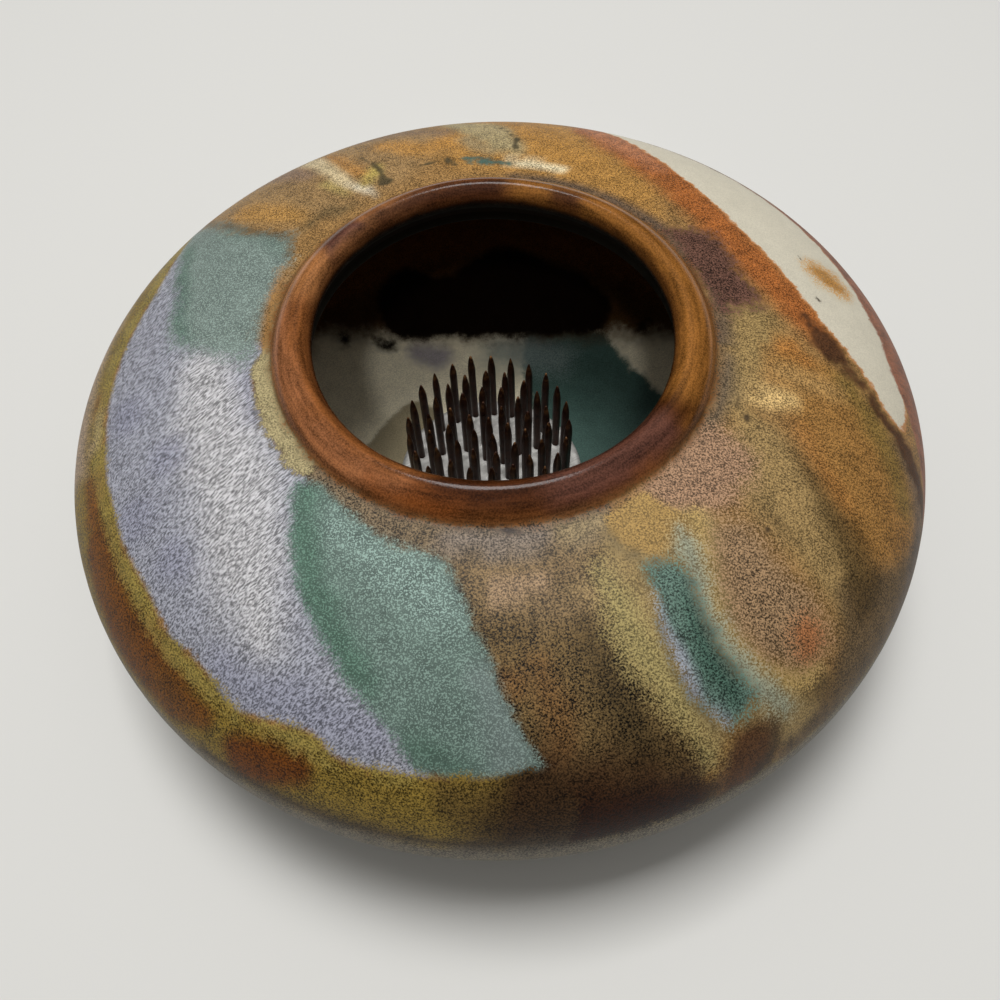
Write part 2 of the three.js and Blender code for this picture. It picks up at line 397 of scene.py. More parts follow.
def outline(skin, *points):
    """Depth inside a smooth closed outline: the distance to its edge, with the sign of the inside."""
    loop = smooth_loop(points)
    following = np.roll(loop, -1, 0)
    edge = np.full(len(skin), np.inf)
    inside = np.zeros(len(skin), dtype=bool)
    for start, end in zip(loop, following):
        edge = np.minimum(edge, nearest_on(skin, start, end)[0])
        spans = (start[1] > skin[:, 1]) != (end[1] > skin[:, 1])
        slope = (end[0] - start[0]) / (end[1] - start[1] if end[1] != start[1] else TINY)
        inside ^= spans & (skin[:, 0] < start[0] + slope * (skin[:, 1] - start[1]))
    return np.where(inside, edge, -edge)


def stream(skin, *points):
    """Depth inside a stream of (x, y, half-width) points: the half-width there less the distance."""
    path = np.asarray(points, dtype=float)
    depth = np.full(len(skin), -np.inf)
    for start, end in zip(path[:-1], path[1:]):
        distance, share = nearest_on(skin, start[:2], end[:2])
        depth = np.maximum(depth, start[2] + share * (end[2] - start[2]) - distance)
    return depth


def spot(skin, x, y, radius):
    """Depth inside a round spot."""
    return radius - np.hypot(skin[:, 0] - x, skin[:, 1] - y)


def arc(skin, radius, half_width, from_deg, to_deg):
    """Depth inside a part of a ring: the nearer of its sides and its ends, which are angles from +X."""
    middle, half_turn = math.radians(from_deg + to_deg) / 2, math.radians(to_deg - from_deg) / 2
    turn = np.arctan2(skin[:, 1], skin[:, 0]) - middle
    away = np.abs((turn + math.pi) % (2 * math.pi) - math.pi)
    return np.minimum(half_width - np.abs(np.hypot(*skin.T) - radius), radius * (half_turn - away))


def together(*depths):
    """The union of some areas."""
    return np.maximum.reduce(depths)


print("areas are given in millimetres")

# %% [markdown]
# Glazes also run down the side, and the lip was wiped round as the wheel turned. Two more places are
# stored for that: one that changes slowly down the side, and one that changes slowly round the lip.
# Noise read at them comes out as runs and as rings.

# %% Directions of flow
RUN_RADIUS = 60.0
RUN_SHARE = 0.16
LIP_MIDDLE_RADIUS = 32.0
RING_SHARE = 0.12


def store(name, kind, key, values):
    """Stores values on the vertices of the vase."""
    attribute = vase_mesh.attributes.new(name, kind, "POINT")
    attribute.data.foreach_set(key, values.astype(np.float32).ravel())


def flow(name, radius, up):
    """Stores a place for each vertex, in metres: on a circle of the radius, and up; the poles get zero."""
    grid = np.zeros((RING_COUNT, COLUMN_COUNT, 3))
    grid[..., 0] = radius * np.cos(angles)
    grid[..., 1] = radius * np.sin(angles)
    grid[..., 2] = up[:, None]
    places = np.concatenate([grid.reshape(-1, 3), np.zeros((2, 3))]) * MM
    store(name, "FLOAT_VECTOR", "vector", places)


flow("down_the_side", RUN_RADIUS, RUN_SHARE * outer_length)
flow("round_the_lip", RING_SHARE * LIP_MIDDLE_RADIUS, outer_length)
print("flow stored for", len(vase_mesh.vertices), "vertices")

# %% [markdown]
# Small helpers keep the node code short. Each adds one node, sets its plain values and links the rest.

# %% Node helpers
NOISE_LOW = 0.28
NOISE_HIGH = 0.72


def fill(tree, made, inputs):
    """Puts values into the inputs of a node, and links sockets to them."""
    for key, value in inputs.items():
        if isinstance(value, bpy.types.NodeSocket):
            tree.links.new(value, made.inputs[key])
        else:
            made.inputs[key].default_value = value
    return made


def node(tree, kind, inputs=None, **settings):
    """Adds a node with its settings and inputs."""
    made = tree.nodes.new(kind)
    for name, value in settings.items():
        setattr(made, name, value)
    return fill(tree, made, inputs or {})


def maths(tree, operation, first, second, third=0.0):
    """One arithmetic step on two values, or on three."""
    return node(tree, "ShaderNodeMath", {0: first, 1: second, 2: third}, operation=operation).outputs[0]


def ramp(tree, value, low, high, bottom=0.0, top=1.0, kind="LINEAR"):
    """The value taken from low..high to bottom..top, and held beyond the ends."""
    inputs = {"Value": value, "From Min": low, "From Max": high, "To Min": bottom, "To Max": top}
    return node(tree, "ShaderNodeMapRange", inputs, interpolation_type=kind).outputs["Result"]


def mix(tree, share, first, second):
    """A colour between two colours."""
    return node(tree, "ShaderNodeMix", {0: share, 6: first, 7: second}, data_type="RGBA").outputs[2]


def noise(tree, place, scale, detail=2.0, rough=0.5):
    """Noise with the given number of features to a metre, spread so that most of it lies from 0 to 1."""
    inputs = {"Vector": place, "Scale": scale, "Detail": detail, "Roughness": rough}
    return ramp(tree, node(tree, "ShaderNodeTexNoise", inputs).outputs["Fac"], NOISE_LOW, NOISE_HIGH)


def object_place(tree):
    """The place of a point on its own piece."""
    return node(tree, "ShaderNodeTexCoord").outputs["Object"]


def drawn_out(tree, place, turn, stretch):
    """A place turned about Z and stretched along X, so that noise read there comes out as dashes."""
    inputs = {"Vector": place, "Rotation": (0.0, 0.0, turn), "Scale": (stretch, 1.0, 1.0)}
    return node(tree, "ShaderNodeMapping", inputs, vector_type="TEXTURE").outputs["Vector"]


def relief_normal(tree, height, depth):
    """The normal of a relief whose height of 1 is depth in millimetres."""
    inputs = {"Height": height, "Strength": 1.0, "Distance": depth * MM}
    return node(tree, "ShaderNodeBump", inputs).outputs["Normal"]


def paint(red, green, blue):
    """A colour given as it looks on a screen, 0 to 255, as linear light."""
    share = np.array([red, green, blue]) / 255.0
    linear = np.where(share <= 0.04045, share / 12.92, ((share + 0.055) / 1.055) ** 2.4)
    return (*linear.tolist(), 1.0)


print("node helpers ready")

# %% [markdown]
# Three effects are shared by all the glazes, so each is a node group. The grain gives noise at the sizes
# seen on the vase: mottling, fine grit, lone specks, dashes, drifts that follow the fall of the side,
# rings on the lip, and the wandering of edges. The tone makes a glaze darker and lighter by coarse and
# fine noise. The pour lays a glaze over what is under it, and its edge breaks up into grains.

# %% Shared glaze effects
COLOUR, VALUE, PLACE = "NodeSocketColor", "NodeSocketFloat", "NodeSocketVector"
BLACK = (0.0, 0.0, 0.0, 1.0)
DASH_TURN = math.radians(40)
DASH_STRETCH = 5.5
STREAK_SHARE = 0.35
TONE_LOW, TONE_HIGH = 0.14, 0.86
GRAIN_REACH = 0.7


def new_group(name, inputs, outputs):
    """An empty node group with named sockets. Returns the tree, its input sockets and its output node."""
    tree = bpy.data.node_groups.new(name, "ShaderNodeTree")
    for label, kind in inputs.items():
        tree.interface.new_socket(label, in_out="INPUT", socket_type=kind)
    for label, kind in outputs.items():
        tree.interface.new_socket(label, in_out="OUTPUT", socket_type=kind)
    given = tree.nodes.new("NodeGroupInput").outputs
    return tree, given, tree.nodes.new("NodeGroupOutput")


def grain_group():
    """Noise from 4 mm (Mottle) to a quarter of a millimetre (Grit); Wander is in millimetres."""
    names = ("Mottle", "Grit", "Speck", "Dash", "Drift", "Ring", "Wander")
    places = {"Place": PLACE, "Down": PLACE, "Round": PLACE}
    tree, given, result = new_group("glaze_grain", places, dict.fromkeys(names, VALUE))
    place = given["Place"]
    dashes = drawn_out(tree, place, DASH_TURN, DASH_STRETCH)
    slow = ramp(tree, noise(tree, place, 210.0, detail=3.0, rough=0.6), 0.0, 1.0, -1.5, 1.5)
    quick = ramp(tree, noise(tree, place, 800.0, detail=3.0), 0.0, 1.0, -0.8, 0.8)
    mottle = noise(tree, place, 280.0, detail=5.0, rough=0.66)
    streak = noise(tree, given["Down"], 1000.0, detail=4.0, rough=0.65)
    drift = maths(tree, "MULTIPLY_ADD", maths(tree, "SUBTRACT", streak, mottle), STREAK_SHARE, mottle)
    made = {
        "Mottle": mottle,
        "Grit": ramp(tree, noise(tree, place, 3600.0, detail=3.0, rough=0.65), 0.25, 0.75),
        "Speck": ramp(tree, noise(tree, place, 3900.0, detail=2.0), 0.48, 0.76, 0.3, 1.0),
        "Dash": ramp(tree, noise(tree, dashes, 3900.0, detail=3.0, rough=0.6), 0.22, 0.78),
        "Drift": ramp(tree, drift, 0.2, 0.8),
        "Ring": noise(tree, given["Round"], 800.0, detail=3.0, rough=0.6),
        "Wander": maths(tree, "ADD", slow, quick),
    }
    fill(tree, result, made)
    return tree


def tone_group():
    """Colour times 1 + Spread * tone, where tone is -1 to 1 and Grain is the share of Fine in it."""
    tree, given, result = new_group(
        "glaze_tone",
        {"Colour": COLOUR, "Spread": VALUE, "Coarse": VALUE, "Fine": VALUE, "Grain": VALUE},
        {"Colour": COLOUR},
    )
    finer = maths(tree, "SUBTRACT", given["Fine"], given["Coarse"])
    tone = maths(tree, "MULTIPLY_ADD", finer, given["Grain"], given["Coarse"])
    tone = ramp(tree, tone, TONE_LOW, TONE_HIGH, -1.0, 1.0)
    factor = maths(tree, "MAXIMUM", maths(tree, "MULTIPLY_ADD", tone, given["Spread"], 1.0), 0.0)
    inputs = {0: factor, 6: BLACK, 7: given["Colour"]}
    scaled = node(tree, "ShaderNodeMix", inputs, data_type="RGBA", clamp_factor=False)
    fill(tree, result, {"Colour": scaled.outputs[2]})
    return tree


def pour_group():
    """The glaze where Depth, moved by Wander and by Grit, is above 0; Thin colours its margin."""
    tree, given, result = new_group(
        "glaze_pour",
        {"Under": COLOUR, "Glaze": COLOUR, "Thin": COLOUR}
        | dict.fromkeys(("Depth", "Wander", "Grit", "Ragged", "Grainy", "Soft", "Margin", "Cover"), VALUE),
        {"Colour": COLOUR, "Mask": VALUE},
    )
    moved = maths(tree, "MULTIPLY_ADD", given["Wander"], given["Ragged"], given["Depth"])
    grains = ramp(tree, given["Grit"], 0.0, 1.0, -GRAIN_REACH, GRAIN_REACH)
    moved = maths(tree, "MULTIPLY_ADD", grains, given["Grainy"], moved)
    half = maths(tree, "MULTIPLY", given["Soft"], 0.5)
    edge = maths(tree, "MULTIPLY", half, -1.0)
    mask = ramp(tree, moved, edge, half, kind="SMOOTHSTEP")
    covered = maths(tree, "MULTIPLY", mask, given["Cover"])
    thick = ramp(tree, moved, 0.0, given["Margin"], kind="SMOOTHSTEP")
    glaze = mix(tree, thick, given["Thin"], given["Glaze"])
    fill(tree, result, {"Colour": mix(tree, covered, given["Under"], glaze), "Mask": covered})
    return tree


GRAIN, TONE, POUR = grain_group(), tone_group(), pour_group()
print("shared effects:", GRAIN.name, TONE.name, POUR.name)

# %% [markdown]
# A brush holds the tree and the shared grain of one material, and keeps the colour so far, so each
# pour lies over the last. A pour is one call: its area, its colour, how far its tone spreads, how much
# of that is fine grain, and how ragged and how soft its edge is.
#
# Within a pour the colour also shifts over centimetres, where it lay thicker or ran into another. Such
# washes have no edge to speak of, so the vertices of the mesh can hold them. A field is a colour and a
# spread for each vertex, washes are painted into it, and a pour can take its colour from a field.

# %% The glazing brush
WANDER_SIZES = ((210.0, 1.8), (800.0, 0.9))
WASH_WANDER = 0.3
vertex_places = [vertex.co.copy() for vertex in vase_mesh.vertices]
wander = sum(
    size * np.array([noise_at(place * scale) for place in vertex_places]) for scale, size in WANDER_SIZES
)


def field(colour, spread):
    """A field of one colour."""
    return np.tile([*paint(*colour)[:3], spread], (len(vertex_places), 1))


def wash(ground, depth, colour, soft=4.0, cover=0.8, spread=None):
    """Moves a field towards a colour by cover times the smooth step of (depth + some wander) over soft."""
    step = np.clip((depth + WASH_WANDER * math.sqrt(soft) * wander) / soft + 0.5, 0.0, 1.0)
    share = (cover * step * step * (3.0 - 2.0 * step))[:, None]
    target = field(colour, 0.0)
    target[:, 3] = ground[:, 3] if spread is None else spread
    ground += share * (target - ground)


def lay(ground, washes):
    """Paints washes into a field: each is an area, a colour, its softness, its cover and maybe a spread."""
    for row in washes:
        wash(ground, *row)


def keep(name, ground):
    """Stores a field on the vase, where a pour can read it by its name."""
    store(name, "FLOAT_COLOR", "color", ground)


class Brush:
    """Lays glazes one over another in a material's tree, and keeps the colour so far."""

    def __init__(self, material):
        self.tree = material.node_tree
        place = object_place(self.tree)
        down, around = [self.stored(name)["Vector"] for name in ("down_the_side", "round_the_lip")]
        self.grain = self.group(GRAIN, {"Place": place, "Down": down, "Round": around})
        self.colour = None
        self.mask = None

    def stored(self, name):
        """The outputs of a node that reads an attribute of the vase."""
        return node(self.tree, "ShaderNodeAttribute", attribute_name=name).outputs

    def group(self, tree, inputs):
        """Places a node group, and gives its outputs."""
        return node(self.tree, "ShaderNodeGroup", inputs, node_tree=tree).outputs

    def glaze(self, colour, spread=0.4, grain=0.6, fine="Grit", coarse="Mottle"):
        """A colour that varies about the given one, or about a field that was stored under a name."""
        if isinstance(colour, str):
            held = self.stored(colour)
            inputs = {"Colour": held["Color"], "Spread": held["Alpha"]}
        else:
            inputs = {"Colour": paint(*colour), "Spread": spread}
        inputs |= {"Grain": grain, "Fine": self.grain[fine], "Coarse": self.grain[coarse]}
        return self.group(TONE, inputs)["Colour"]

    def pour(
        self, name, depth, colour, soft=1.2, ragged=0.5, grainy=0.5, cover=1.0, thin=None, margin=1.0, **look
    ):
        """Stores the area's depth on the vase, and lays a glaze over it."""
        store(name, "FLOAT", "value", depth)
        glaze = self.glaze(colour, **look)
        inputs = {"Under": self.colour, "Glaze": glaze, "Thin": paint(*thin) if thin else glaze}
        inputs |= {"Depth": self.stored(name)["Fac"], "Wander": self.grain["Wander"]}
        inputs |= {"Grit": self.grain["Grit"], "Ragged": ragged, "Grainy": grainy * soft, "Soft": soft}
        made = self.group(POUR, inputs | {"Margin": margin, "Cover": cover})
        self.colour, self.mask = made["Colour"], made["Mask"]


def new_material(name):
    """A material with only its Principled shader and output. Returns it and the shader."""
    material = bpy.data.materials.new(name)
    material.use_nodes = True
    return material, material.node_tree.nodes["Principled BSDF"]


def outer(*points):
    """An outline on the outer skin."""
    return outline(outer_skin, *points)


def run(*points):
    """A stream on the outer skin."""
    return stream(outer_skin, *points)


distance = np.hypot(*outer_skin.T)
bearing = np.degrees(np.arctan2(outer_skin[:, 1], outer_skin[:, 0]))
print("brush ready, edges wander by up to", round(float(np.abs(wander).max()), 1), "mm")

# %% [markdown]
# The outside starts with the pale slip, which shows only in a bare wedge at the back right. Everywhere
# else an iron glaze lies over it. It fired gold and tan at the back, where pale streams crossed it, and
# rust red beside the wedge, where it is thin.

# %% Iron glaze at the back
iron = field((140, 107, 64), 0.68)
back_washes = (
    (
        outer((-58, 45), (-40, 28), (-22, 33), (-13, 40), (-8, 52), (-10, 64), (-20, 76), (-45, 68)),
        (142, 114, 76), 8, 0.9,
    ),
    (
        outer((-8, 44), (4, 39), (18, 33), (30, 26), (31, 38), (25, 49), (18, 62), (8, 74), (-2, 66)),
        (164, 121, 62), 8, 0.85,
    ),
    (run((-46, 38, 3), (-40, 34, 3), (-34, 31, 2)), (172, 128, 66), 4, 0.7),
    (run((-32, 56, 1.4), (-26.8, 47.4, 2), (-24, 43, 1.6)), (166, 118, 60), 3.6, 0.75),
    (run((-20, 55, 2.5), (-12.5, 50, 3.2), (-7, 52, 3)), (174, 126, 62), 4.5, 0.8),
    (run((9, 56, 3), (14, 48, 3), (20, 42, 2)), (172, 126, 64), 4, 0.6),
    (run((-52, 55, 3), (-41, 54, 3.4), (-35, 47, 2)), (126, 102, 84), 5, 0.8),
    (run((-26, 62, 2), (-16, 62, 2), (-8, 58, 1.5)), (124, 100, 78), 4, 0.7),
    (run((-30, 41, 1.2), (-26, 36.6, 1)), (164, 146, 88), 2.6, 0.7),
    (run((-23.2, 38, 1), (-20.8, 41.5, 1.2), (-20.2, 45, 0.9)), (168, 150, 80), 2.6, 0.8),
    (
        run((-39, 62, 2.2), (-35.4, 55.5, 2), (-31.2, 48.5, 1.8), (-28.3, 43.6, 1.5), (-25, 38.4, 1)),
        (196, 178, 140), 2.4, 0.9,
    ),
    (run((-25, 38.4, 0.8), (-21, 35.6, 1)), (206, 196, 172), 2, 0.8),
    (
        outer((-9, 68), (-2.6, 66), (3.4, 62), (6.4, 53), (7.2, 46), (2.4, 46.8), (-1, 52), (-5, 58)),
        (156, 144, 108), 3, 0.85,
    ),
    (run((-3.4, 53, 1.6), (-0.8, 49, 2), (1.4, 46.6, 1.2)), (150, 134, 100), 3, 0.8),
    (run((4.6, 43.4, 1), (7.6, 42, 1.4), (11, 41, 1.3), (14.2, 39.8, 0.8)), (214, 200, 164), 2.2, 0.95),
    (run((-33, 27, 0.5), (-29.6, 29.5, 1), (-27, 30.6, 1), (-24, 31.6, 0.4)), (84, 72, 48), 2, 0.85),
    (
        run(
            (24, 60, 5), (29, 49.5, 5), (34, 40, 4.6), (39, 29.5, 4.4), (43.6, 20, 4.3),
            (48.6, 10.5, 4.2), (53, 3.5, 3.4), (56, -2, 2),
        ),
        (151, 90, 44), 4, 1.0,
    ),
    (run((23, 63, 4), (28, 52, 4), (32.5, 44, 2)), (166, 112, 80), 5, 0.75),
)
lay(iron, back_washes)
print("back has", len(back_washes), "washes")

# %% [markdown]
# The right side carries many small pours that ran into each other: an olive beige by the lip, a broad
# gold with a pale spot and a dark edge, and a tan swirl below with thin streaks that follow the fall of
# the side. Beside the lip, a darker band in the groove is partly a grey-brown glaze and partly painted
# shade.

# %% Iron glaze on the right
right_washes = (
    (
        outer(
            (45, 0), (50, -4), (56, -7), (60, -12), (65, -19), (69, -27), (68, -37), (60, -41), (56, -38),
            (52, -33), (49, -27), (47, -20), (45, -14), (43, -8),
        ),
        (140, 102, 54), 4, 1.0,
    ),
    (run((57, -9, 1.6), (60.5, -14.5, 2.3), (64.5, -22, 2.8), (66.5, -29, 2.4)), (114, 94, 48), 4.5, 0.8),
    (run((45.4, -3.6, 1.2), (48.4, -3.4, 1.7), (50.6, -6, 1.4)), (164, 110, 54), 3.4, 0.8),
    (run((46.6, -19, 1.6), (48, -25, 2.2), (52, -31, 2)), (156, 106, 54), 4, 0.6),
    (run((45, -9, 1.6), (50.2, -10.2, 2.2), (54.6, -11.4, 1.4)), (166, 132, 82), 4, 0.7),
    (
        outer(
            (38.4, 2.6), (41.9, 4.8), (45.5, 4.6), (46.6, 0), (43.5, -5.8), (41.4, -11), (39.6, -16),
            (37.5, -20.5), (35.4, -18), (36.6, -11.4), (37, -4.8),
        ),
        (141, 117, 74), 3, 1.0,
    ),
    (run((41, -14.6, 1.4), (43, -13.8, 2.1), (45.8, -14, 1.5)), (198, 166, 110), 3.6, 0.95),
    (
        outer(
            (35, -21), (40, -17.5), (45, -22), (48, -28), (52, -36), (55, -44), (52, -50), (46, -44),
            (40, -37), (35, -31),
        ),
        (142, 117, 75), 5, 1.0,
    ),
    (
        run((36, -4, 0.9), (36.6, -8.4, 1.5), (35.4, -13.4, 1.8), (33.5, -17.2, 1.7), (31.5, -20, 1)),
        (94, 81, 64), 3, 0.9,
    ),
    (
        outer(
            (50, -45), (57, -42), (66, -38), (73, -32), (78, -38), (70, -54), (56, -68), (44, -73),
            (41, -65), (48, -59), (51, -52),
        ),
        (99, 80, 54), 5, 1.0,
    ),
    (
        run(
            (45.2, -21.4, 0.5), (46.4, -25.3, 1), (49.4, -31.6, 1.8), (51.2, -35, 2.6), (53.6, -39, 3.2),
            (55.6, -43, 3.2), (55.6, -47, 2.2),
        ),
        (68, 51, 24), 4, 0.68,
    ),
    (run((37.4, -31.5, 0.4), (40.1, -34.4, 0.7), (42.8, -37.4, 0.5)), (104, 82, 50), 2.2, 0.6),
    (
        run((67.5, -19, 1.4), (71, -27, 2), (72, -33, 2.2), (70, -42, 2.2), (66, -52, 2.4)),
        (96, 80, 68), 4.5, 0.75,
    ),
    # Painted shade with a grey-brown glaze: a darker band in the groove beside the lip's right side.
    (
        together(arc(outer_skin, 37, 1.6, 20, 84), run((36.8, 10, 1.2), (37.2, 4, 1.4), (36.6, -3, 1.2))),
        (84, 71, 60), 2.4, 0.9,
    ),
)
lay(iron, right_washes)
print("right side has", len(right_washes), "washes")

# %% [markdown]
# The front has a brown with strong grain, lighter at the top and darker below, and by the lip a grey
# band. Beside it the ground is gold, under the narrow streams that cross it. Near the top of the brown,
# two light streaks are a painted highlight. The whole of the iron glaze is then one pour, which leaves
# out the wedge.

# %% Iron glaze in front
front_washes = (
    (
        outer(
            (10, -39), (22, -33), (31, -34), (33, -48), (40, -57), (49, -57), (46, -66), (33, -70),
            (22, -62), (14, -50),
        ),
        (144, 122, 80), 3, 1.0, 0.5,
    ),
    (
        outer(
            (-9, -38), (0, -36), (10, -37), (14, -41), (17, -47), (21, -56), (26, -64), (31, -71),
            (31, -79), (20, -84), (5, -83), (-2, -74), (-4, -66), (-8, -57), (-10, -46),
        ),
        (95, 76, 46), 2.4, 1.0, 1.05,
    ),
    (
        outer((-8, -42), (0, -39), (10, -39), (16, -42), (15, -47), (10, -50), (2, -49.5), (-5, -47)),
        (120, 99, 70), 5, 0.85, 0.8,
    ),
    # Painted highlight: two light streaks near the top of the brown, where the lamp's reflection lies.
    (run((-0.8, -45.4, 1), (1.7, -45.2, 1.4), (5, -44.6, 1)), (184, 153, 122), 3, 0.75, 0.5),
    (run((10, -46, 0.8), (13.6, -46.4, 1)), (166, 140, 96), 3, 0.6, 0.5),
    (run((-1.8, -57, 1.2), (0.6, -58.4, 1.5)), (116, 74, 36), 3.6, 0.45),
    (run((4.6, -56, 1.6), (6.3, -61, 2.4), (7.4, -67, 2)), (106, 70, 36), 4, 0.45),
    (run((10.8, -50.5, 1.4), (13.2, -56, 2.2), (15.4, -61, 3), (19, -67.5, 3.4)), (64, 51, 29), 5, 0.85),
    (
        outer(
            (-31.6, -23.8), (-27, -23), (-20.8, -28), (-12.4, -33), (0, -34), (8, -33.6), (15.1, -31.6),
            (15.8, -36.4), (12, -38.9), (6, -39.6), (0, -40.4), (-9, -40), (-16.5, -38), (-20.1, -36),
            (-25, -32), (-30, -28),
        ),
        (108, 92, 70), 2, 1.0, 0.9,
    ),
    (run((-8, -37.6, 1.6), (0, -38, 2), (6, -37.8, 1.6)), (124, 112, 101), 3, 0.85, 0.7),
    (run((9, -37, 1.6), (14, -35.4, 1.4)), (150, 132, 98), 3, 0.8, 0.45),
    (run((46, -58, 2.4), (49, -59.6, 3)), (98, 76, 44), 4, 0.8),
    (
        outer((0, -68), (8, -67), (20, -68), (30, -72), (32, -84), (16, -90), (0, -88)),
        (54, 33, 18), 9, 0.8, 0.7,
    ),
    (
        outer((3, -75), (12, -73.5), (20, -73.5), (27, -73.5), (31, -76), (29, -82), (15, -85), (4, -84)),
        (40, 16, 4), 6, 0.95, 0.9,
    ),
    (
        outer((31, -69), (33.4, -64.8), (37.5, -64), (40.6, -65.4), (41, -71), (38, -77), (33, -77)),
        (80, 50, 28), 4, 0.95, 0.6,
    ),
    (run((39.4, -65.6, 0.8), (40.6, -69, 1.4), (39.4, -74, 1.6)), (58, 47, 33), 3, 0.8),
    (run((29.6, -72, 0.8), (31.6, -67, 0.8), (33, -64.6, 0.5)), (140, 100, 48), 2, 0.7),
)
lay(iron, front_washes)
keep("iron", iron)
print("front has", len(front_washes), "washes")

# %% Bare wedge
outside_glaze, outside_shader = new_material("poured_glazes")
brush = Brush(outside_glaze)
brush.colour = brush.glaze((204, 197, 178), spread=0.1)
bare = outer(
    (21, 72), (27, 61), (31, 53), (35, 45.5), (40, 36), (45, 26.5), (50, 16.5), (54, 8.2), (56.8, 2.2),
    (59.6, -2.2), (62.3, -6), (64.2, -10.4), (66, -13.4), (68.8, -15.4), (71, -10), (70.4, 4), (68.4, 14),
    (65, 24), (59.5, 36), (52, 47.5), (44, 58), (36, 68), (28, 76),
)
brush.pour(
    "iron_edge", -bare, "iron",
    soft=0.5, ragged=0.4, thin=(188, 132, 84), margin=0.8, coarse="Drift", grain=0.7,
)
print("the bare wedge is", round(2 * float(bare.max())), "mm wide")

# %% [markdown]
# Small pours with an edge lie on the iron glaze: dark cracks and a teal blob at the back, plum and a
# pink tan with pale specks on the right, a dark jag beside the wedge, and in front an ochre patch, a
# gold fringe round a patch with a dense dark speckle, and a yellow strip.

# %% Small pours
brush.pour(
    "oval_mark",
    run((58.2, 18.4, 1.6), (59.6, 17.2, 3), (61.2, 15.8, 3.6), (62.6, 14.4, 3), (63.6, 13.2, 1.6)),
    (166, 120, 62), soft=2.2, ragged=0.5, grainy=0.9, thin=(192, 160, 112), margin=1.6, spread=0.6, grain=0.8,
)
brush.pour(
    "back_teal",
    run((-3.4, 43.7, 0.8), (-0.5, 43.5, 1.3), (2.1, 42.8, 1.2), (4.6, 42, 0.6)),
    (76, 98, 88), soft=1.1, spread=0.35,
)
brush.pour(
    "back_cracks",
    together(
        run((-25, 51, 0.2), (-22.2, 47.1, 0.4), (-19.6, 42.4, 0.45), (-19, 37.2, 0.8), (-17.7, 38.8, 0.9)),
        run((-17.7, 39.3, 0.5), (-13.5, 41.4, 0.4), (-10.5, 43.3, 0.5), (-7.9, 45, 0.6), (-5.7, 42.2, 0.7)),
        run((3.4, 60, 0.3), (6.6, 52.8, 0.5), (5.6, 49, 0.5), (8, 46, 0.4)),
    ),
    (72, 64, 44), soft=0.7, ragged=0.2, grainy=0.3, cover=0.9,
)
brush.pour(
    "right_pink",
    outer(
        (20.5, -30.5), (23.3, -26.4), (27.4, -22), (31.5, -19.8), (35, -21.6), (37.4, -25.2), (36.4, -29.3),
        (32, -32.8), (26.8, -34), (23, -33),
    ),
    (146, 115, 89), soft=4, ragged=0.7, spread=0.7, grain=0.9,
)
brush.pour(
    "right_plum",
    outer(
        (32.2, 21.4), (36, 22.4), (39, 21.6), (40.6, 18), (42.4, 13.6), (44.4, 9.4), (45.4, 6), (41.1, 4.4),
        (37.2, 2.2), (35.8, 6), (34.8, 11.2), (33.2, 16.4),
    ),
    (88, 61, 50), soft=2.4, ragged=1.1, grainy=0.9, spread=0.9, grain=0.75,
)
brush.pour(
    "dark_jag",
    run(
        (51.6, 5, 0.5), (54, 1.2, 1.4), (55.6, -2.2, 2.1), (57.7, -4.9, 1.5), (60.4, -7.8, 0.9),
        (62.4, -11.1, 0.8), (64.2, -15.2, 0.9), (67.4, -17.6, 1.3), (70.3, -21.6, 1.7),
        (72.9, -25.6, 1.8), (76, -31, 1.4),
    ),
    (72, 46, 28), soft=1.5, ragged=0.6, cover=0.95, spread=0.6,
)
brush.pour(
    "ochre_patch",
    outer(
        (14.6, -35.7), (17.6, -33.3), (20.7, -30.9), (23.3, -32.6), (26.7, -34), (29, -34.8), (28, -38.1),
        (24.6, -38), (22.8, -41.2), (19.4, -40), (16.7, -38.9),
    ),
    (156, 126, 74), soft=1.3, ragged=0.4, spread=0.5, grain=0.75,
)
brush.pour(
    "gold_fringe",
    run(
        (28.1, -34.8, 1.5), (29.1, -39.2, 1.3), (29.4, -43.5, 1.2), (29.8, -46.9, 1.2), (30.9, -50.3, 1.3),
        (33, -53.3, 1.4), (36.3, -56, 1.7), (40, -57.6, 1.9), (43.6, -57.8, 1.5), (46.6, -56, 0.8),
    ),
    (166, 139, 86), soft=2.4, ragged=0.4, spread=0.5, grain=0.75,
)
brush.pour(
    "speckled_tan",
    outer(
        (30.8, -37), (33.2, -35.4), (36.1, -36.1), (38.6, -39.7), (41.4, -43.1), (44.4, -46), (47, -48.6),
        (48.2, -51.4), (46.8, -54.1), (42.6, -56), (39.2, -55.8), (36, -54.4), (33.1, -51.6),
        (31.5, -47.9), (30.8, -43.5),
    ),
    (134, 108, 79), soft=3.4, ragged=0.4, grainy=0.9, spread=0.85, grain=0.85,
)
brush.pour(
    "orange_spot", spot(outer_skin, 44.2, -51.7, 2.4), (156, 98, 58),
    soft=4, cover=0.8, spread=0.6, grain=0.75,
)
brush.pour(
    "yellow_strip",
    run(
        (13.6, -43, 1), (15.8, -46.9, 2), (16.9, -50.3, 2.6), (18.4, -53, 2.7), (20.6, -56.3, 2.6),
        (22.3, -58.9, 2.2), (24.7, -62.6, 1.6), (27.3, -66, 1.2), (29.6, -70, 0.8),
    ),
    (154, 139, 90), soft=5, grainy=0.3, cover=0.85, spread=0.5, grain=0.8,
)
brush.pour(
    "pale_teal",
    run(
        (25.7, -36.8, 0.9), (26.5, -39.2, 1.4), (27.3, -43, 1.4), (28, -46.9, 1.4), (29.1, -50.5, 1.4),
        (31.1, -53.8, 1.5), (34, -57, 1.7), (37.5, -59.9, 1.9), (41.2, -62.4, 1.3),
    ),
    (138, 144, 126), soft=3.2, ragged=0.4, cover=0.85, spread=0.45, grain=0.75,
)
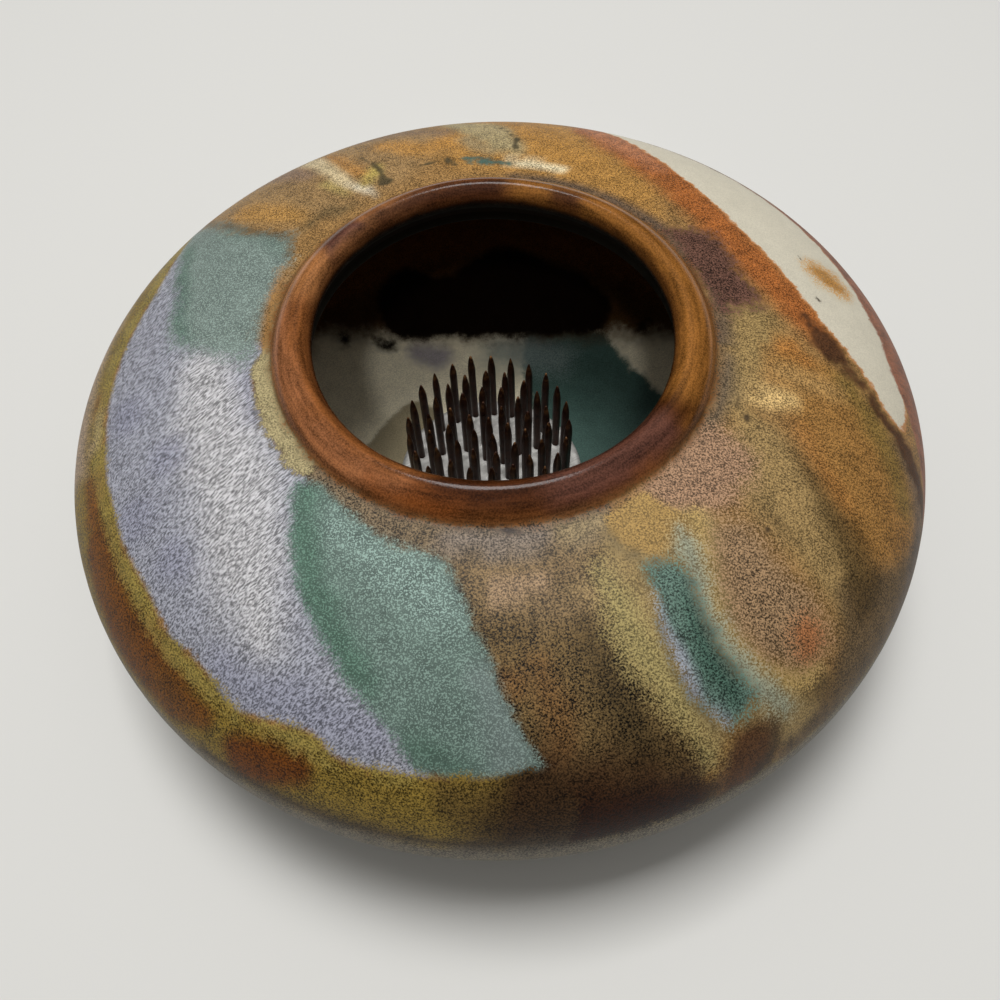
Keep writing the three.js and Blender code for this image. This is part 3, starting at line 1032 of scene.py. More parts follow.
brush.pour(
    "small_marks",
    together(
        run((56, 20.4, 0.25), (56.6, 19.4, 0.35)),
        run((56.3, 9.4, 0.25), (57, 8.4, 0.35)),
        run((37.9, -14.2, 0.5), (37.5, -16, 0.8), (38.4, -18.6, 0.45)),
        run((30.6, -22.4, 0.2), (31.8, -22.1, 0.3)),
        run((57.8, -54.6, 0.4), (58.1, -54.9, 0.4)),
        run((35.7, -37.5, 0.3), (36.4, -36.2, 0.5), (37.6, -36, 0.3), (39.2, -36.4, 0.4)),
    ),
    (56, 44, 32), soft=0.5, ragged=0.2, spread=0.3, cover=0.9,
)
print("small pours done")

# %% [markdown]
# A pale crystalline glaze covers the left side. Its crystals are small dashes that all lean one way. Its
# palest band, where the crystals are densest, is also a painted sheen. A sage green lies above it and a
# sea green below, both with pale specks and a darker strip along the left edge, where they are thickest.
# A narrow stream of the same green crosses the front, with lilac along one side.

# %% Lavender and greens
lavender = field((144, 145, 154), 0.6)
PALE_CRYSTALS_AND_SHEEN = (180, 178, 178)
LILAC = (130, 131, 147)
lay(lavender, (
    # Painted sheen, with the densest crystals: a broad pale band down the left side.
    (
        run((-47, -3, 4.6), (-44.5, -12, 7), (-40.5, -25, 7.2), (-37.5, -40, 6.2), (-35, -50, 3)),
        PALE_CRYSTALS_AND_SHEEN, 9, 0.8,
    ),
    (spot(outer_skin, -62, -8, 3.5), LILAC, 5, 0.6),
    (spot(outer_skin, -58, -28, 4), LILAC, 5, 0.6),
    (spot(outer_skin, -50, -36, 3.5), LILAC, 5, 0.6),
    (spot(outer_skin, -52, -18, 3), LILAC, 5, 0.6),
    (run((-42, -53, 3), (-30, -60, 4), (-20, -64, 3)), LILAC, 6, 0.6),
    (run((-40, -6, 1.4), (-38, -14, 1.2)), LILAC, 4, 0.6),
))
keep("lavender", lavender)
sage = outer(
    (-60, 34), (-57, 20), (-55.5, 10), (-53.5, 4), (-49, 1.4), (-44.6, -1), (-40.6, -3), (-38.5, -3),
    (-38, 3), (-37.4, 8), (-35.6, 12.6), (-34.4, 18), (-34.8, 24), (-37.4, 26), (-43, 29), (-48, 33),
    (-52, 37), (-60, 42),
)
sea_green = outer(
    (-31, -27), (-31, -36), (-30, -42), (-28, -47), (-25.5, -52), (-23, -56.5), (-20, -60), (-17, -63),
    (-15, -67), (-13, -69.5), (-4, -71), (4, -70), (2, -65.5), (0.3, -62), (-1.4, -58.6), (-3, -54),
    (-4.5, -50), (-7, -43), (-9, -40), (-16, -37), (-22, -32), (-27, -27),
)
teal = outer(
    (20.6, -42.2), (21.1, -45.2), (21.8, -49), (22.9, -53), (24.1, -56.3), (26.1, -60), (29.1, -62.7),
    (31.5, -64.1), (35.8, -61.4), (33.4, -57.9), (31.2, -55.1), (29.2, -52), (27.9, -48.5), (26.9, -45.2),
    (25.7, -42.2), (23, -41.5),
)
GROUND_MARGIN = 3
green = field((104, 123, 114), 0.65)
lay(green, (
    (sage + GROUND_MARGIN, (120, 134, 127), 2, 1.0, 0.6),
    (teal + GROUND_MARGIN, (84, 106, 95), 2, 1.0, 0.8),
    (run((-58, 33, 1.3), (-56, 20, 1.9), (-54.4, 10, 1.7), (-52, 4.5, 1.1)), (86, 110, 98), 3, 0.75),
    (run((-36, 22, 2), (-40, 27, 2), (-48, 32, 2)), (104, 121, 112), 5, 0.7),
    (run((-24, -34, 2), (-14, -42, 4.5), (-8.5, -47, 3.5)), (122, 142, 134), 6, 0.7, 0.95),
    (
        run((-29, -28, 1.8), (-29.5, -36, 2.4), (-27, -45, 2.6), (-23, -53, 2.6), (-20, -57, 1.6)),
        (78, 108, 92), 3.5, 0.8, 0.6,
    ),
    (run((-14, -66, 2.2), (-8, -69, 1.8)), (78, 104, 90), 3.5, 0.7, 0.5),
    (run((-3.5, -57, 2), (-1.5, -63, 3), (0, -68, 3)), (116, 128, 124), 4, 0.7, 0.4),
    (
        run((25.2, -46, 0.7), (27, -52, 1.2), (29.3, -56.5, 1.6), (32.3, -60.5, 1.6)),
        (56, 82, 70), 3.2, 0.85, 0.85,
    ),
    (
        run((21, -47, 0.6), (22, -51.3, 1.2), (22.9, -54, 1.4), (24.4, -57.4, 1.3), (26.2, -60.4, 1.1)),
        (144, 145, 155), 2.4, 0.8, 0.5,
    ),
    (run((27, -61.2, 0.8), (29.1, -63.2, 1.2), (31.3, -64.4, 0.9)), (146, 145, 154), 2.4, 0.7, 0.5),
))
keep("green", green)
print("lavender and green fields stored")

# %% Left and front pours
brush.pour(
    "lavender_edge",
    outer(
        (-58, 42), (-61, 28), (-62, 22), (-64, 15), (-66, 8), (-67, 0), (-67, -6), (-66, -13), (-65, -19),
        (-63, -24), (-61, -30), (-58, -35), (-55, -40), (-52, -46), (-49, -49), (-45, -53), (-42, -58),
        (-38, -60), (-29, -63), (-25, -67), (-13, -70.5), (-11, -66), (-14, -61), (-20, -54), (-25, -45),
        (-27, -36), (-28, -28), (-31, -23), (-35.5, -15), (-38, -6), (-37, 0), (-46, 4), (-51, 9),
        (-53, 20), (-55, 33),
    ),
    "lavender", soft=1.4, ragged=0.6, fine="Dash", grain=0.85,
)
SAGE_FADE = 0.5
TEAL_OVERLAP = 0.3
brush.pour(
    "green_edge", together(SAGE_FADE * sage, sea_green), "green",
    soft=1.8, ragged=0.45, fine="Speck", grain=0.8,
)
brush.pour("teal_stream", teal + TEAL_OVERLAP, "green", soft=1.8, ragged=0.4, grainy=0.8, grain=0.8)
brush.pour(
    "green_lines",
    together(
        run(
            (-56, 41, 0.5), (-47.5, 33, 0.6), (-42, 28.6, 0.7), (-37.2, 26.6, 0.8), (-34.6, 25, 0.6),
            (-34.6, 20, 0.4),
        ),
        run((26.2, -44, 0.15), (27.6, -49.5, 0.3), (29.4, -53.6, 0.35), (32.2, -57.4, 0.45)),
        run((14.9, -36.3, 0.2), (15.8, -38.1, 0.45), (17, -39.6, 0.35), (19.7, -40.7, 0.3), (23, -41.5, 0.3)),
        run((21.2, -49.5, 0.15), (23.2, -57, 0.25), (26.2, -61.2, 0.35), (29, -64.4, 0.3)),
    ),
    (80, 78, 66), soft=1.4, ragged=0.25, grainy=0.8, cover=0.5,
)
brush.pour(
    "yellow_fringe",
    outer(
        (-35.6, 11), (-36.6, 7), (-36.6, 2.7), (-37.4, -1.2), (-38.7, -4), (-38.5, -7.9), (-37.4, -11.7),
        (-35.5, -16.5), (-33.3, -20.7), (-31.4, -23.6), (-28, -24.6), (-27.5, -22), (-32, -14),
        (-34.5, -4), (-34.6, 6),
    ),
    (157, 144, 106), soft=0.9, ragged=0.6, thin=(104, 92, 66), margin=0.8, spread=0.5, grain=0.7,
)
brush.pour("fringe_gold", run((-35.4, 16, 1), (-36, 8, 1), (-36.3, 0, 1)), (150, 108, 58), soft=2, cover=0.8)
print("lavender and greens done")

# %% [markdown]
# Low on the left and the front an olive glaze runs round the body, with rust spots in it and a yellow
# edge. On the front it darkens to a brown that is almost black. Below it the glaze is brown, and then
# grey on the underside. On the right a rust band follows the widest part, and turns grey at the back.

# %% Low on the body
GREY_START = 83.8
BUFF_START = 73.5
SIDE_RADIUS = 80
SIDE_REACH = 30


def side(start, end):
    """The whole side of the body between two angles."""
    return arc(outer_skin, SIDE_RADIUS, SIDE_REACH, start, end)


low = field((120, 99, 42), 0.85)
lay(low, (
    (np.minimum(distance - BUFF_START, side(120, 192)), (158, 136, 116), 6, 0.85),
    (run((-69, -5, 1.6), (-69, -11, 1.6)), (160, 140, 110), 3, 0.9),
    (run((-69.5, -1, 1.6), (-70, -4, 1.2)), (112, 72, 30), 2.6, 0.7),
    (run((-68, -19, 3), (-68.5, -25, 2.3)), (108, 68, 26), 2.6, 1.0),
    (run((-67, -30, 4.4), (-64.5, -38, 5)), (102, 62, 22), 2.6, 1.0),
    (run((-63, -43, 5.4), (-56.5, -50.5, 5.4)), (98, 58, 18), 2.6, 1.0),
    (run((-53, -55.5, 5), (-47.6, -59, 2.6)), (100, 62, 20), 2.6, 1.0),
    (run((-41, -66.6, 4.4), (-33, -68, 3.6)), (96, 53, 14), 2.6, 1.0),
    (
        outer((-12, -71.5), (-4, -71), (4, -70), (10, -72), (8, -80), (-2, -83), (-9, -80)),
        (86, 68, 34), 5, 0.85,
    ),
    (outer((-1, -69), (12, -69), (12, -88), (-4, -88)), (50, 33, 18), 7, 0.95),
    (distance - GREY_START, (112, 104, 88), 3, 1.0),
    (arc(outer_skin, 82.6, 1.3, 232, 300), (64, 52, 38), 2, 0.85),
))
keep("low", low)
print("low field stored")

# %% Low pours
OLIVE_OVERLAP = 0.9
RIM_INSET = 0.6
RIM_HALF_WIDTH = 1.4
RIM_LOW = 72.6
RIM_RIGHT = -14
olive = outer(
    (-62, 42), (-61.8, 28), (-63, 21), (-65, 15), (-67, 8), (-68, 0), (-68, -6), (-67, -13), (-66, -19),
    (-64, -24), (-61.5, -31), (-59, -35.5), (-55.5, -41), (-52.5, -47), (-49.5, -50), (-45.5, -54),
    (-42, -59), (-38, -61), (-29, -64), (-25, -68), (-13, -71), (-4, -71.5), (3, -70.5), (8, -76),
    (4, -84), (-15, -84), (-32, -80), (-48, -72), (-62, -61), (-74, -46), (-82, -28), (-86, -8),
    (-84, 16), (-76, 38),
)
brush.pour(
    "low_edge", together(olive + OLIVE_OVERLAP, distance - GREY_START), "low",
    soft=1.6, ragged=0.6, grain=0.75, coarse="Drift",
)
rim_band = RIM_HALF_WIDTH - np.abs(olive - RIM_INSET)
rim_end = np.minimum(RIM_LOW - distance, RIM_RIGHT - outer_skin[:, 0])
brush.pour(
    "olive_rim", np.minimum(rim_band, rim_end), (150, 136, 76), soft=1.8, ragged=0.6, cover=0.5, grain=0.75,
)
print("olive done")

# %% Bands round the widest part
RING_TOP = 69.5
RING_LOW = 82.0
RING_TAPER = 0.15
RING_FALL = 0.6
RING_FALL_FROM = -3.0


def ring_band(top, start, end):
    """A band round the widest part that thins towards its ends: the least of three distances."""
    ends = RING_TAPER * side(start, end)
    return np.minimum.reduce([distance - top, RING_LOW - distance, ends])


ring_top = RING_TOP + RING_FALL * np.clip(RING_FALL_FROM - bearing, 0, None)
brush.pour(
    "edge_ring", ring_band(ring_top, -26, 108), (134, 86, 63),
    soft=0.8, ragged=0.35, spread=0.6, thin=(146, 100, 78), margin=0.8, coarse="Drift", grain=0.5,
)
brush.pour(
    "edge_ring_grey", ring_band(RING_TOP, 40, 118), (118, 102, 84),
    soft=2.4, ragged=0.7, cover=0.75, spread=0.7, coarse="Drift", grain=0.6,
)
print("low glazes done")

# %% [markdown]
# The lip was wiped and dipped, so its glaze is thin and glossy and changes round the circle: rust on
# the left, golden on the right, dark red-brown in front with plum beside it, and very dark inside, partly
# a dark glaze and partly painted shade on the inner flank and in the throat. A dark crack follows its
# foot in front.

# %% Lip
LIP_OVERLAP = 0.2
LIP_FOOT = 1.2
LIP_SHADE = 8.4
LIP_INSIDE = 10.1
on_lip = CREASE_RADIUS + LIP_OVERLAP - distance
rim = field((120, 72, 36), 0.6)
for radius, half_width, start, end, colour, soft in (
    (29, 6.4, -44, 84, (132, 86, 37), 5),
    (33, 2.4, 158, 246, (140, 90, 57), 3),
    (30, 4.6, 112, 168, (146, 97, 57), 5),
    (29, 5.2, 250, 330, (54, 25, 10), 6),
    (34, 1.8, 236, 260, (112, 61, 26), 5),
    (30, 4.2, 282, 322, (88, 55, 44), 5),
    (30.4, 2, 134, 150, (72, 46, 42), 4),
    (28.6, 1.6, 58, 68, (76, 44, 28), 4),
    # Painted shade on a dark glaze: the far inner flank, which faces away from the lamp.
    (28, 2.4, 84, 130, (58, 33, 24), 6),
):
    wash(rim, arc(outer_skin, radius, half_width, start, end), colour, soft, 0.9)
wash(rim, LIP_FOOT - on_lip, (98, 66, 38), 1.6, 0.7)
# Painted shade: the inner flank is darkened towards the mouth.
wash(rim, on_lip - LIP_SHADE, (66, 36, 17), 2.6, 0.7)
keep("rim", rim)
brush.pour("lip_edge", on_lip, "rim", soft=1.8, ragged=0.45, grain=0.4, coarse="Ring")
lip_mask = brush.mask
# Painted shade, with a dark glaze: the throat inside the mouth is almost black.
brush.pour("throat_glaze_and_shade", on_lip - LIP_INSIDE, (24, 13, 6), soft=1.6, ragged=0.2, grainy=0.4)
throat_mask = brush.mask
brush.pour(
    "crease_crack",
    run(
        (-10.8, -35.2, 0.15), (-7.5, -36.2, 0.3), (-3.3, -36.3, 0.25), (0.4, -36.6, 0.35), (3.6, -36.6, 0.15),
    ),
    (36, 28, 24), soft=0.6, ragged=0.4, cover=0.9,
)
print("lip done")

# %% [markdown]
# The poured glazes are satin, with grain in their sheen and a slight relief. The wiped lip is glossy
# and almost smooth, and turns dull again inside the throat.

# %% Sheen and relief of the outside
MOTTLE_RELIEF = 2.0
LIP_RELIEF = 0.15
RELIEF_DEPTH = 0.016
THROAT_DULLNESS = 0.5
satin = ramp(brush.tree, brush.grain["Grit"], 0.0, 1.0, 0.4, 0.54)
gloss = ramp(brush.tree, brush.grain["Grit"], 0.0, 1.0, 0.12, 0.2)
gloss = maths(brush.tree, "MULTIPLY_ADD", throat_mask, THROAT_DULLNESS, gloss)
rough = node(brush.tree, "ShaderNodeMix", {0: lip_mask, 2: satin, 3: gloss}, data_type="FLOAT").outputs[0]
relief = maths(brush.tree, "MULTIPLY_ADD", brush.grain["Mottle"], MOTTLE_RELIEF, brush.grain["Grit"])
relief = maths(brush.tree, "MULTIPLY", relief, ramp(brush.tree, lip_mask, 0.0, 1.0, 1.0, LIP_RELIEF))
outside_look = {"Base Color": brush.colour, "Roughness": rough, "Specular IOR Level": 0.14}
outside_look["Normal"] = relief_normal(brush.tree, relief, RELIEF_DEPTH)
fill(brush.tree, outside_shader, outside_look)
print("outside has", len(outside_glaze.node_tree.nodes), "nodes")

# %% [markdown]
# The inside was glazed by pouring and swilling: a cream ground, a teal pool on the right and a lilac
# spot. A darker patch on the left of the floor is a painted shadow of the frog. Above a nearly straight
# line across the far wall, and all higher up, the colour is dark brown, partly glaze and partly painted
# shade where the lip's shadow falls, and a black iron splash lies in its middle with its lower edge on
# that line. Higher still the brown is lighter, and under the lip it is almost black, partly a dark glaze
# and partly painted shade.

# %% Inside glaze
inside_glaze, inside_shader = new_material("inside_glaze")
brush = Brush(inside_glaze)
inner_distance = np.hypot(*inner_skin.T)
SHADE_START = 40
SHADE_CURVE = 0.0022
SHADE_SLANT = 0.05
BROWN_START = 55
THROAT_START = 60
COLLAR_DEPTH = 11.0
brush.colour = brush.glaze((222, 212, 184), spread=0.2)
# Painted shadow of the frog: a darker patch on the left of the floor.
brush.pour(
    "inside_frog_shadow",
    outline(inner_skin, (-28, 10), (-27, 14.5), (-21, 22.5), (-16, 24), (-10, 14), (-12, -12), (-24, -14)),
    (120, 108, 80), soft=1, ragged=0.2, cover=0.85, spread=0.2,
)
brush.pour(
    "inside_teal",
    outline(
        inner_skin,
        (8, 42), (18, 41), (25, 39.4), (26.5, 36.6), (28.5, 33.5), (30, 30), (33, 26.4), (36, 22),
        (41, 14), (42, 0), (36, -20), (10, -30), (9, -10), (8, 10), (7, 26),
    ),
    (64, 86, 79), soft=2.2, ragged=0.5, grainy=0.2, spread=0.25,
)
brush.pour(
    "inside_haze",
    stream(inner_skin, (2, 37, 4), (8, 36, 5), (14, 34, 3)),
    (112, 124, 120), soft=9, grainy=0.2, cover=0.85, spread=0.2,
)
brush.pour(
    "inside_lilac",
    stream(inner_skin, (-17, 36.4, 2.6), (-12.6, 35.6, 3)),
    (126, 120, 132), soft=4, ragged=0.4, grainy=0.2, cover=0.8, spread=0.2,
)
inner_x, inner_y = inner_skin.T
# Painted shadow of the lip: above this line, and higher up the wall, it is darkened over a brown glaze.
shade_line = inner_y - SHADE_START + SHADE_CURVE * inner_x**2 + SHADE_SLANT * inner_x
brown = together(shade_line, inner_distance - BROWN_START)
brush.pour("inside_brown_and_lip_shadow", brown, (66, 44, 20), soft=8, ragged=0.7, grainy=0.1)
brush.pour("inside_throat", inner_distance - THROAT_START, (112, 70, 30), soft=10, ragged=0.7, grainy=0.1)
# Painted shade, with a dark glaze: the wall just under the lip is almost black.
collar = inner_distance - (along[-1] - tuck_at - COLLAR_DEPTH)
brush.pour("inside_collar_glaze_and_shade", collar, (16, 9, 4), soft=4, ragged=0.3, grainy=0.1)
# A black iron splash in the painted shadow of the lip; its straight lower edge is that shadow's edge.
brush.pour(
    "inside_splash_and_lip_shadow",
    together(
        outline(
            inner_skin,
            (-22.5, 40), (-10, 40.4), (4, 40.2), (15, 39.6), (23.5, 38.9), (27, 42), (27, 47), (22, 53),
            (13, 58), (4, 62), (-4, 59), (-12, 55), (-20, 57), (-25, 53), (-26, 46),
        ),
        spot(inner_skin, -33.6, 38.6, 1.4),
        stream(inner_skin, (-25.5, 38.4, 1.5), (-23, 38.2, 1.3)),
        stream(inner_skin, (33.2, 38.4, 0.5), (35.4, 39.2, 0.6)),
    ),
    (16, 8, 4), soft=2.4, ragged=0.4, grainy=0.1,
)
rough = ramp(brush.tree, brush.grain["Mottle"], 0.0, 1.0, 0.4, 0.55)
fill(brush.tree, inside_shader, {"Base Color": brush.colour, "Roughness": rough, "Specular IOR Level": 0.06})
print("inside has", len(inside_glaze.node_tree.nodes), "nodes")

# %% [markdown]
# The foot ring was wiped clean before firing, so its clay is bare: buff, dry and a little sandy. The
# faces of the vase are shared out between the three materials by their place on the profile.

# %% Bare clay of the foot, and the zones
SAND_DEPTH = 0.06
INSIDE_START = 0.6
WIPED_INSET = 1.0
WIPED_DROP = 0.6
bare_clay, clay_shader = new_material("bare_clay")
brush = Brush(bare_clay)
clay = brush.glaze((174, 154, 128), spread=0.3, grain=0.75)
sandy = relief_normal(brush.tree, brush.grain["Grit"], SAND_DEPTH)
fill(brush.tree, clay_shader, {"Base Color": clay, "Normal": sandy, "Roughness": 0.85})
for material in (outside_glaze, inside_glaze, bare_clay):
    vase_mesh.materials.append(material)
row_zone = np.zeros(RING_COUNT + 1, dtype=np.int32)
row_at = np.concatenate([[0.0], ring_at])
row_zone[row_at > tuck_at + INSIDE_START] = 1
off_the_foot = (profile[:, 0] > FOOT_RADIUS - WIPED_INSET) & (profile[:, 1] > FOOT_HEIGHT - WIPED_DROP)
FOOT_AT = along[np.argmax(off_the_foot)]
row_zone[row_at < FOOT_AT] = 2
vase_mesh.polygons.foreach_set("material_index", np.repeat(row_zone, COLUMN_COUNT))
print("bare clay up to", round(FOOT_AT, 1), "mm along the profile")

# %% [markdown]
# The pin frog's disc is cast in a soft pale metal. The needles were pushed in while it was soft, so
# each stands in a low collar. The disc is again a surface of rings, and its top is a height field: a
# level plane with a small bell round each needle. Its underside has the shallow seat of the core's
# plate.

# %% Frog sizes
disc_low, disc_high = [np.array(corner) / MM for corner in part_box("frog_disc")]
FROG_X, FROG_Y = (disc_low[:2] + disc_high[:2]) / 2
FROG_RADIUS = (disc_high[0] - disc_low[0]) / 2
FROG_BOTTOM, FROG_TOP = disc_low[2], disc_high[2]
FROG_BEVEL = 0.8
NEEDLE_PITCH = 3.7
CORE_TURN = math.radians(-17)
NEEDLE_RADIUS = 0.75
CORE_PLATE_MARGIN = 1.2
CORE_PLATE_RADIUS = NEEDLE_PITCH + NEEDLE_RADIUS + CORE_PLATE_MARGIN
CORE_PLATE_THICKNESS = 1.2
needle_names = [
    f"needle_{circle}_{number:02d}"
    for circle, count in (("inner", 12), ("middle", 18), ("outer", 24))
    for number in range(1, count + 1)
]
needle_boxes = {name: [np.array(corner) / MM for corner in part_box(name)] for name in needle_names}
core_angles = CORE_TURN + np.arange(6) * math.pi / 3
core_places = NEEDLE_PITCH * np.stack([np.cos(core_angles), np.sin(core_angles)], axis=1) + [FROG_X, FROG_Y]
core_places = np.concatenate([[[FROG_X, FROG_Y]], core_places])
ring_places = np.array([(low[:2] + high[:2]) / 2 for low, high in needle_boxes.values()])
needle_places = np.concatenate([core_places, ring_places])
print("needles", len(needle_places), "on a disc", round(2 * FROG_RADIUS, 1), "mm across")

# %% Frog disc
DISC_COLUMNS = 200
DISC_TOP_RINGS = 46
COLLAR_HEIGHT = 0.28
COLLAR_REACH = 0.95
BEVEL_ROWS = 5
SEAT_GAP = 0.1
SEAT_STEP = 0.2
LEVEL = 0.01


def disc_rings():
    """Rings of the disc: seat, underside, bevels, side and top.

    The top stands up by COLLAR_HEIGHT * exp(-(d / COLLAR_REACH)^2), where d is the way to the nearest needle.
    """
    inner_edge, seat = FROG_RADIUS - FROG_BEVEL, CORE_PLATE_RADIUS + SEAT_GAP
    low, high = FROG_BOTTOM, FROG_TOP
    turn = np.linspace(0.0, math.pi / 2, BEVEL_ROWS)
    lower = [(inner_edge + FROG_BEVEL * math.sin(a), low + FROG_BEVEL * (1 - math.cos(a))) for a in turn]
    upper = [(inner_edge + FROG_BEVEL * math.cos(a), high - FROG_BEVEL * (1 - math.sin(a))) for a in turn]
    top = [(radius, high) for radius in np.linspace(inner_edge, 0.0, DISC_TOP_RINGS + 1)[1:-1]]
    plate = low + CORE_PLATE_THICKNESS
    under = [(seat - SEAT_STEP, plate), (seat, plate), (seat, low), (seat + SEAT_STEP, low)]
    section = np.array([*under, *lower, *upper, *top])
    turns = ring_angles(DISC_COLUMNS)
    x = FROG_X + np.outer(section[:, 0], np.cos(turns))
    y = FROG_Y + np.outer(section[:, 0], np.sin(turns))
    z = np.repeat(section[:, 1:], DISC_COLUMNS, axis=1)
    gaps = np.hypot(x[..., None] - needle_places[:, 0], y[..., None] - needle_places[:, 1]).min(axis=-1)
    collar = COLLAR_HEIGHT * np.exp(-((gaps / COLLAR_REACH) ** 2))
    z += np.where(z > high - LEVEL, collar, 0.0)
    return np.stack([x, y, z], axis=-1)


disc_seat = (FROG_X, FROG_Y, FROG_BOTTOM + CORE_PLATE_THICKNESS)
disc_crown = (FROG_X, FROG_Y, FROG_TOP + COLLAR_HEIGHT)
disc_mesh = solid("pin_frog_disc", shell(disc_rings(), disc_seat, disc_crown))
disc = show("pin_frog_disc", disc_mesh, "frog", ["frog_disc"])
print("pin_frog_disc has", len(disc_mesh.polygons), "faces")

# %% [markdown]
# A needle is a stout pin, cut and ground to a point by hand. Its radius stays full and then falls in a
# curve to the tip, and no two needles are the same: each leans a little and has its own length of
# point, from a fixed seed. The core is the middle needle and six more on a small plate.

# %% Needles
NEEDLE_SIDES = 14
NEEDLE_ROWS = 7
POINT_ROWS = 9
POINT_LENGTHS = (4.4, 6.2)
POINT_CURVE = 2.2
TIP_RADII = (0.1, 0.24)
TIP_DOME = 0.4
MOST_LEAN = 0.16
LEAN_CURVE = 1.5
MOST_LOSS = 0.35
FLATNESS = 0.07
PLATE_COLUMNS = 64
needle_low, needle_high = needle_boxes["needle_inner_01"][0][2], needle_boxes["needle_inner_01"][1][2]
chance = np.random.default_rng(61)


def needle_shell(x, y, low, high):
    """A needle: radius R up to the point, then R (1 - t^POINT_CURVE) + tip * t over it, on a leaning axis."""
    point = chance.uniform(*POINT_LENGTHS)
    tip = chance.uniform(*TIP_RADII)
    lean = chance.uniform(-MOST_LEAN, MOST_LEAN, 2)
    high = high - chance.uniform(0.0, MOST_LOSS)
    shaft = np.linspace(low, high - point, NEEDLE_ROWS, endpoint=False)
    share = np.linspace(0.0, 1.0, POINT_ROWS)
    heights = np.concatenate([shaft, high - point * (1 - share)])
    narrowing = NEEDLE_RADIUS * (1 - share**POINT_CURVE) + tip * share
    widths = np.concatenate([np.full(NEEDLE_ROWS, NEEDLE_RADIUS), narrowing])
    leaning = (np.clip(heights - FROG_TOP, 0, None) / (high - FROG_TOP)) ** LEAN_CURVE
    turns = ring_angles(NEEDLE_SIDES)
    flat = 1.0 + FLATNESS * np.cos(2 * turns + chance.uniform(0, 2 * math.pi))
    across = x + lean[0] * leaning[:, None] + np.outer(widths, np.cos(turns) * flat)
    along_y = y + lean[1] * leaning[:, None] + np.outer(widths, np.sin(turns) * flat)
    rings = np.stack([across, along_y, np.repeat(heights[:, None], NEEDLE_SIDES, axis=1)], axis=-1)
    end = (x + lean[0], y + lean[1], high + tip * TIP_DOME)
    return shell(rings, (x, y, low), end)


def plate_shell():
    """The round plate that joins the needles of the core, let into the underside of the disc."""
    turns = ring_angles(PLATE_COLUMNS)
    section = [(CORE_PLATE_RADIUS, FROG_BOTTOM), (CORE_PLATE_RADIUS, FROG_BOTTOM + CORE_PLATE_THICKNESS)]
    rings = [[(FROG_X + r * math.cos(a), FROG_Y + r * math.sin(a), z) for a in turns] for r, z in section]
    ends = [(FROG_X, FROG_Y, z) for _, z in section]
    return shell(np.array(rings), *ends)


needle_pieces = []
for name, (x, y) in zip(needle_names, ring_places):
    pin_name = name.replace("needle", "pin")
    pin_mesh = solid(pin_name, needle_shell(x, y, needle_low, needle_high))
    needle_pieces.append(show(pin_name, pin_mesh, "frog", [name]))
core_shells = [needle_shell(x, y, needle_low, needle_high) for x, y in core_places]
core_mesh = solid("pin_core", plate_shell(), *core_shells)
needle_pieces.append(show("pin_core", core_mesh, "frog", ["needle_core"]))
print("needle pieces", len(needle_pieces), "with", len(core_mesh.polygons), "faces in the core")

# %% [markdown]
# The disc's metal is dull and pale, with fine scratches and a grey bloom. The needles are tarnished
# almost black, and a little brass shows again where they were ground and where stems rub them; near the
# tips this lighter brass is also a painted glint.

# %% Disc material
SCRATCH_TURN = 0.5
SCRATCH_STRETCH = 12.0
SCRATCH_DEPTH = 0.02
pale_metal, metal_shader = new_material("pale_cast_metal")
tree = pale_metal.node_tree
place = object_place(tree)
brushed = drawn_out(tree, place, SCRATCH_TURN, SCRATCH_STRETCH)
scratch = noise(tree, brushed, 2600.0, detail=2.0, rough=0.6)
bloom = noise(tree, place, 420.0, detail=3.0, rough=0.6)
metal = mix(tree, bloom, paint(140, 138, 133), paint(190, 188, 183))
metal = mix(tree, ramp(tree, scratch, 0.62, 0.9), metal, paint(150, 148, 143))
metal_look = {"Base Color": metal, "Metallic": 0.35, "Roughness": ramp(tree, bloom, 0.0, 1.0, 0.34, 0.52)}
metal_look["Normal"] = relief_normal(tree, scratch, SCRATCH_DEPTH)
fill(tree, metal_shader, metal_look)
disc_mesh.materials.append(pale_metal)
print("disc material:", pale_metal.name)

# %% Needle material
WORN_AND_GLINT_LENGTH = 3.0
dark_brass, brass_shader = new_material("tarnished_brass")
tree = dark_brass.node_tree
place = object_place(tree)
height = node(tree, "ShaderNodeSeparateXYZ", {"Vector": place}).outputs["Z"]
blotch = noise(tree, place, 900.0, detail=3.0, rough=0.6)
tarnish = mix(tree, blotch, paint(40, 20, 12), paint(74, 42, 27))
# Painted glint, with real wear: lighter brass in patches near each tip.
near_tip = ramp(tree, height, (needle_high - WORN_AND_GLINT_LENGTH) * MM, needle_high * MM)
worn_and_glint = maths(tree, "MULTIPLY", near_tip, ramp(tree, blotch, 0.45, 0.95))
brass = mix(tree, worn_and_glint, tarnish, paint(150, 108, 66))
brass_look = {"Base Color": brass, "Metallic": 0.55, "Roughness": ramp(tree, blotch, 0.0, 1.0, 0.26, 0.46)}
fill(tree, brass_shader, brass_look)
for piece in needle_pieces:
    piece.data.materials.append(dark_brass)
print("needle material:", dark_brass.name)

# %% [markdown]
# The vase stands on plain pale paper. A lamp hangs high and a little behind it, so a soft shadow falls
# towards the viewer, and the rest of the light comes from above and fades towards the horizon. A weak
# narrow spot from the front shines into the mouth, so the floor and the frog can be seen.

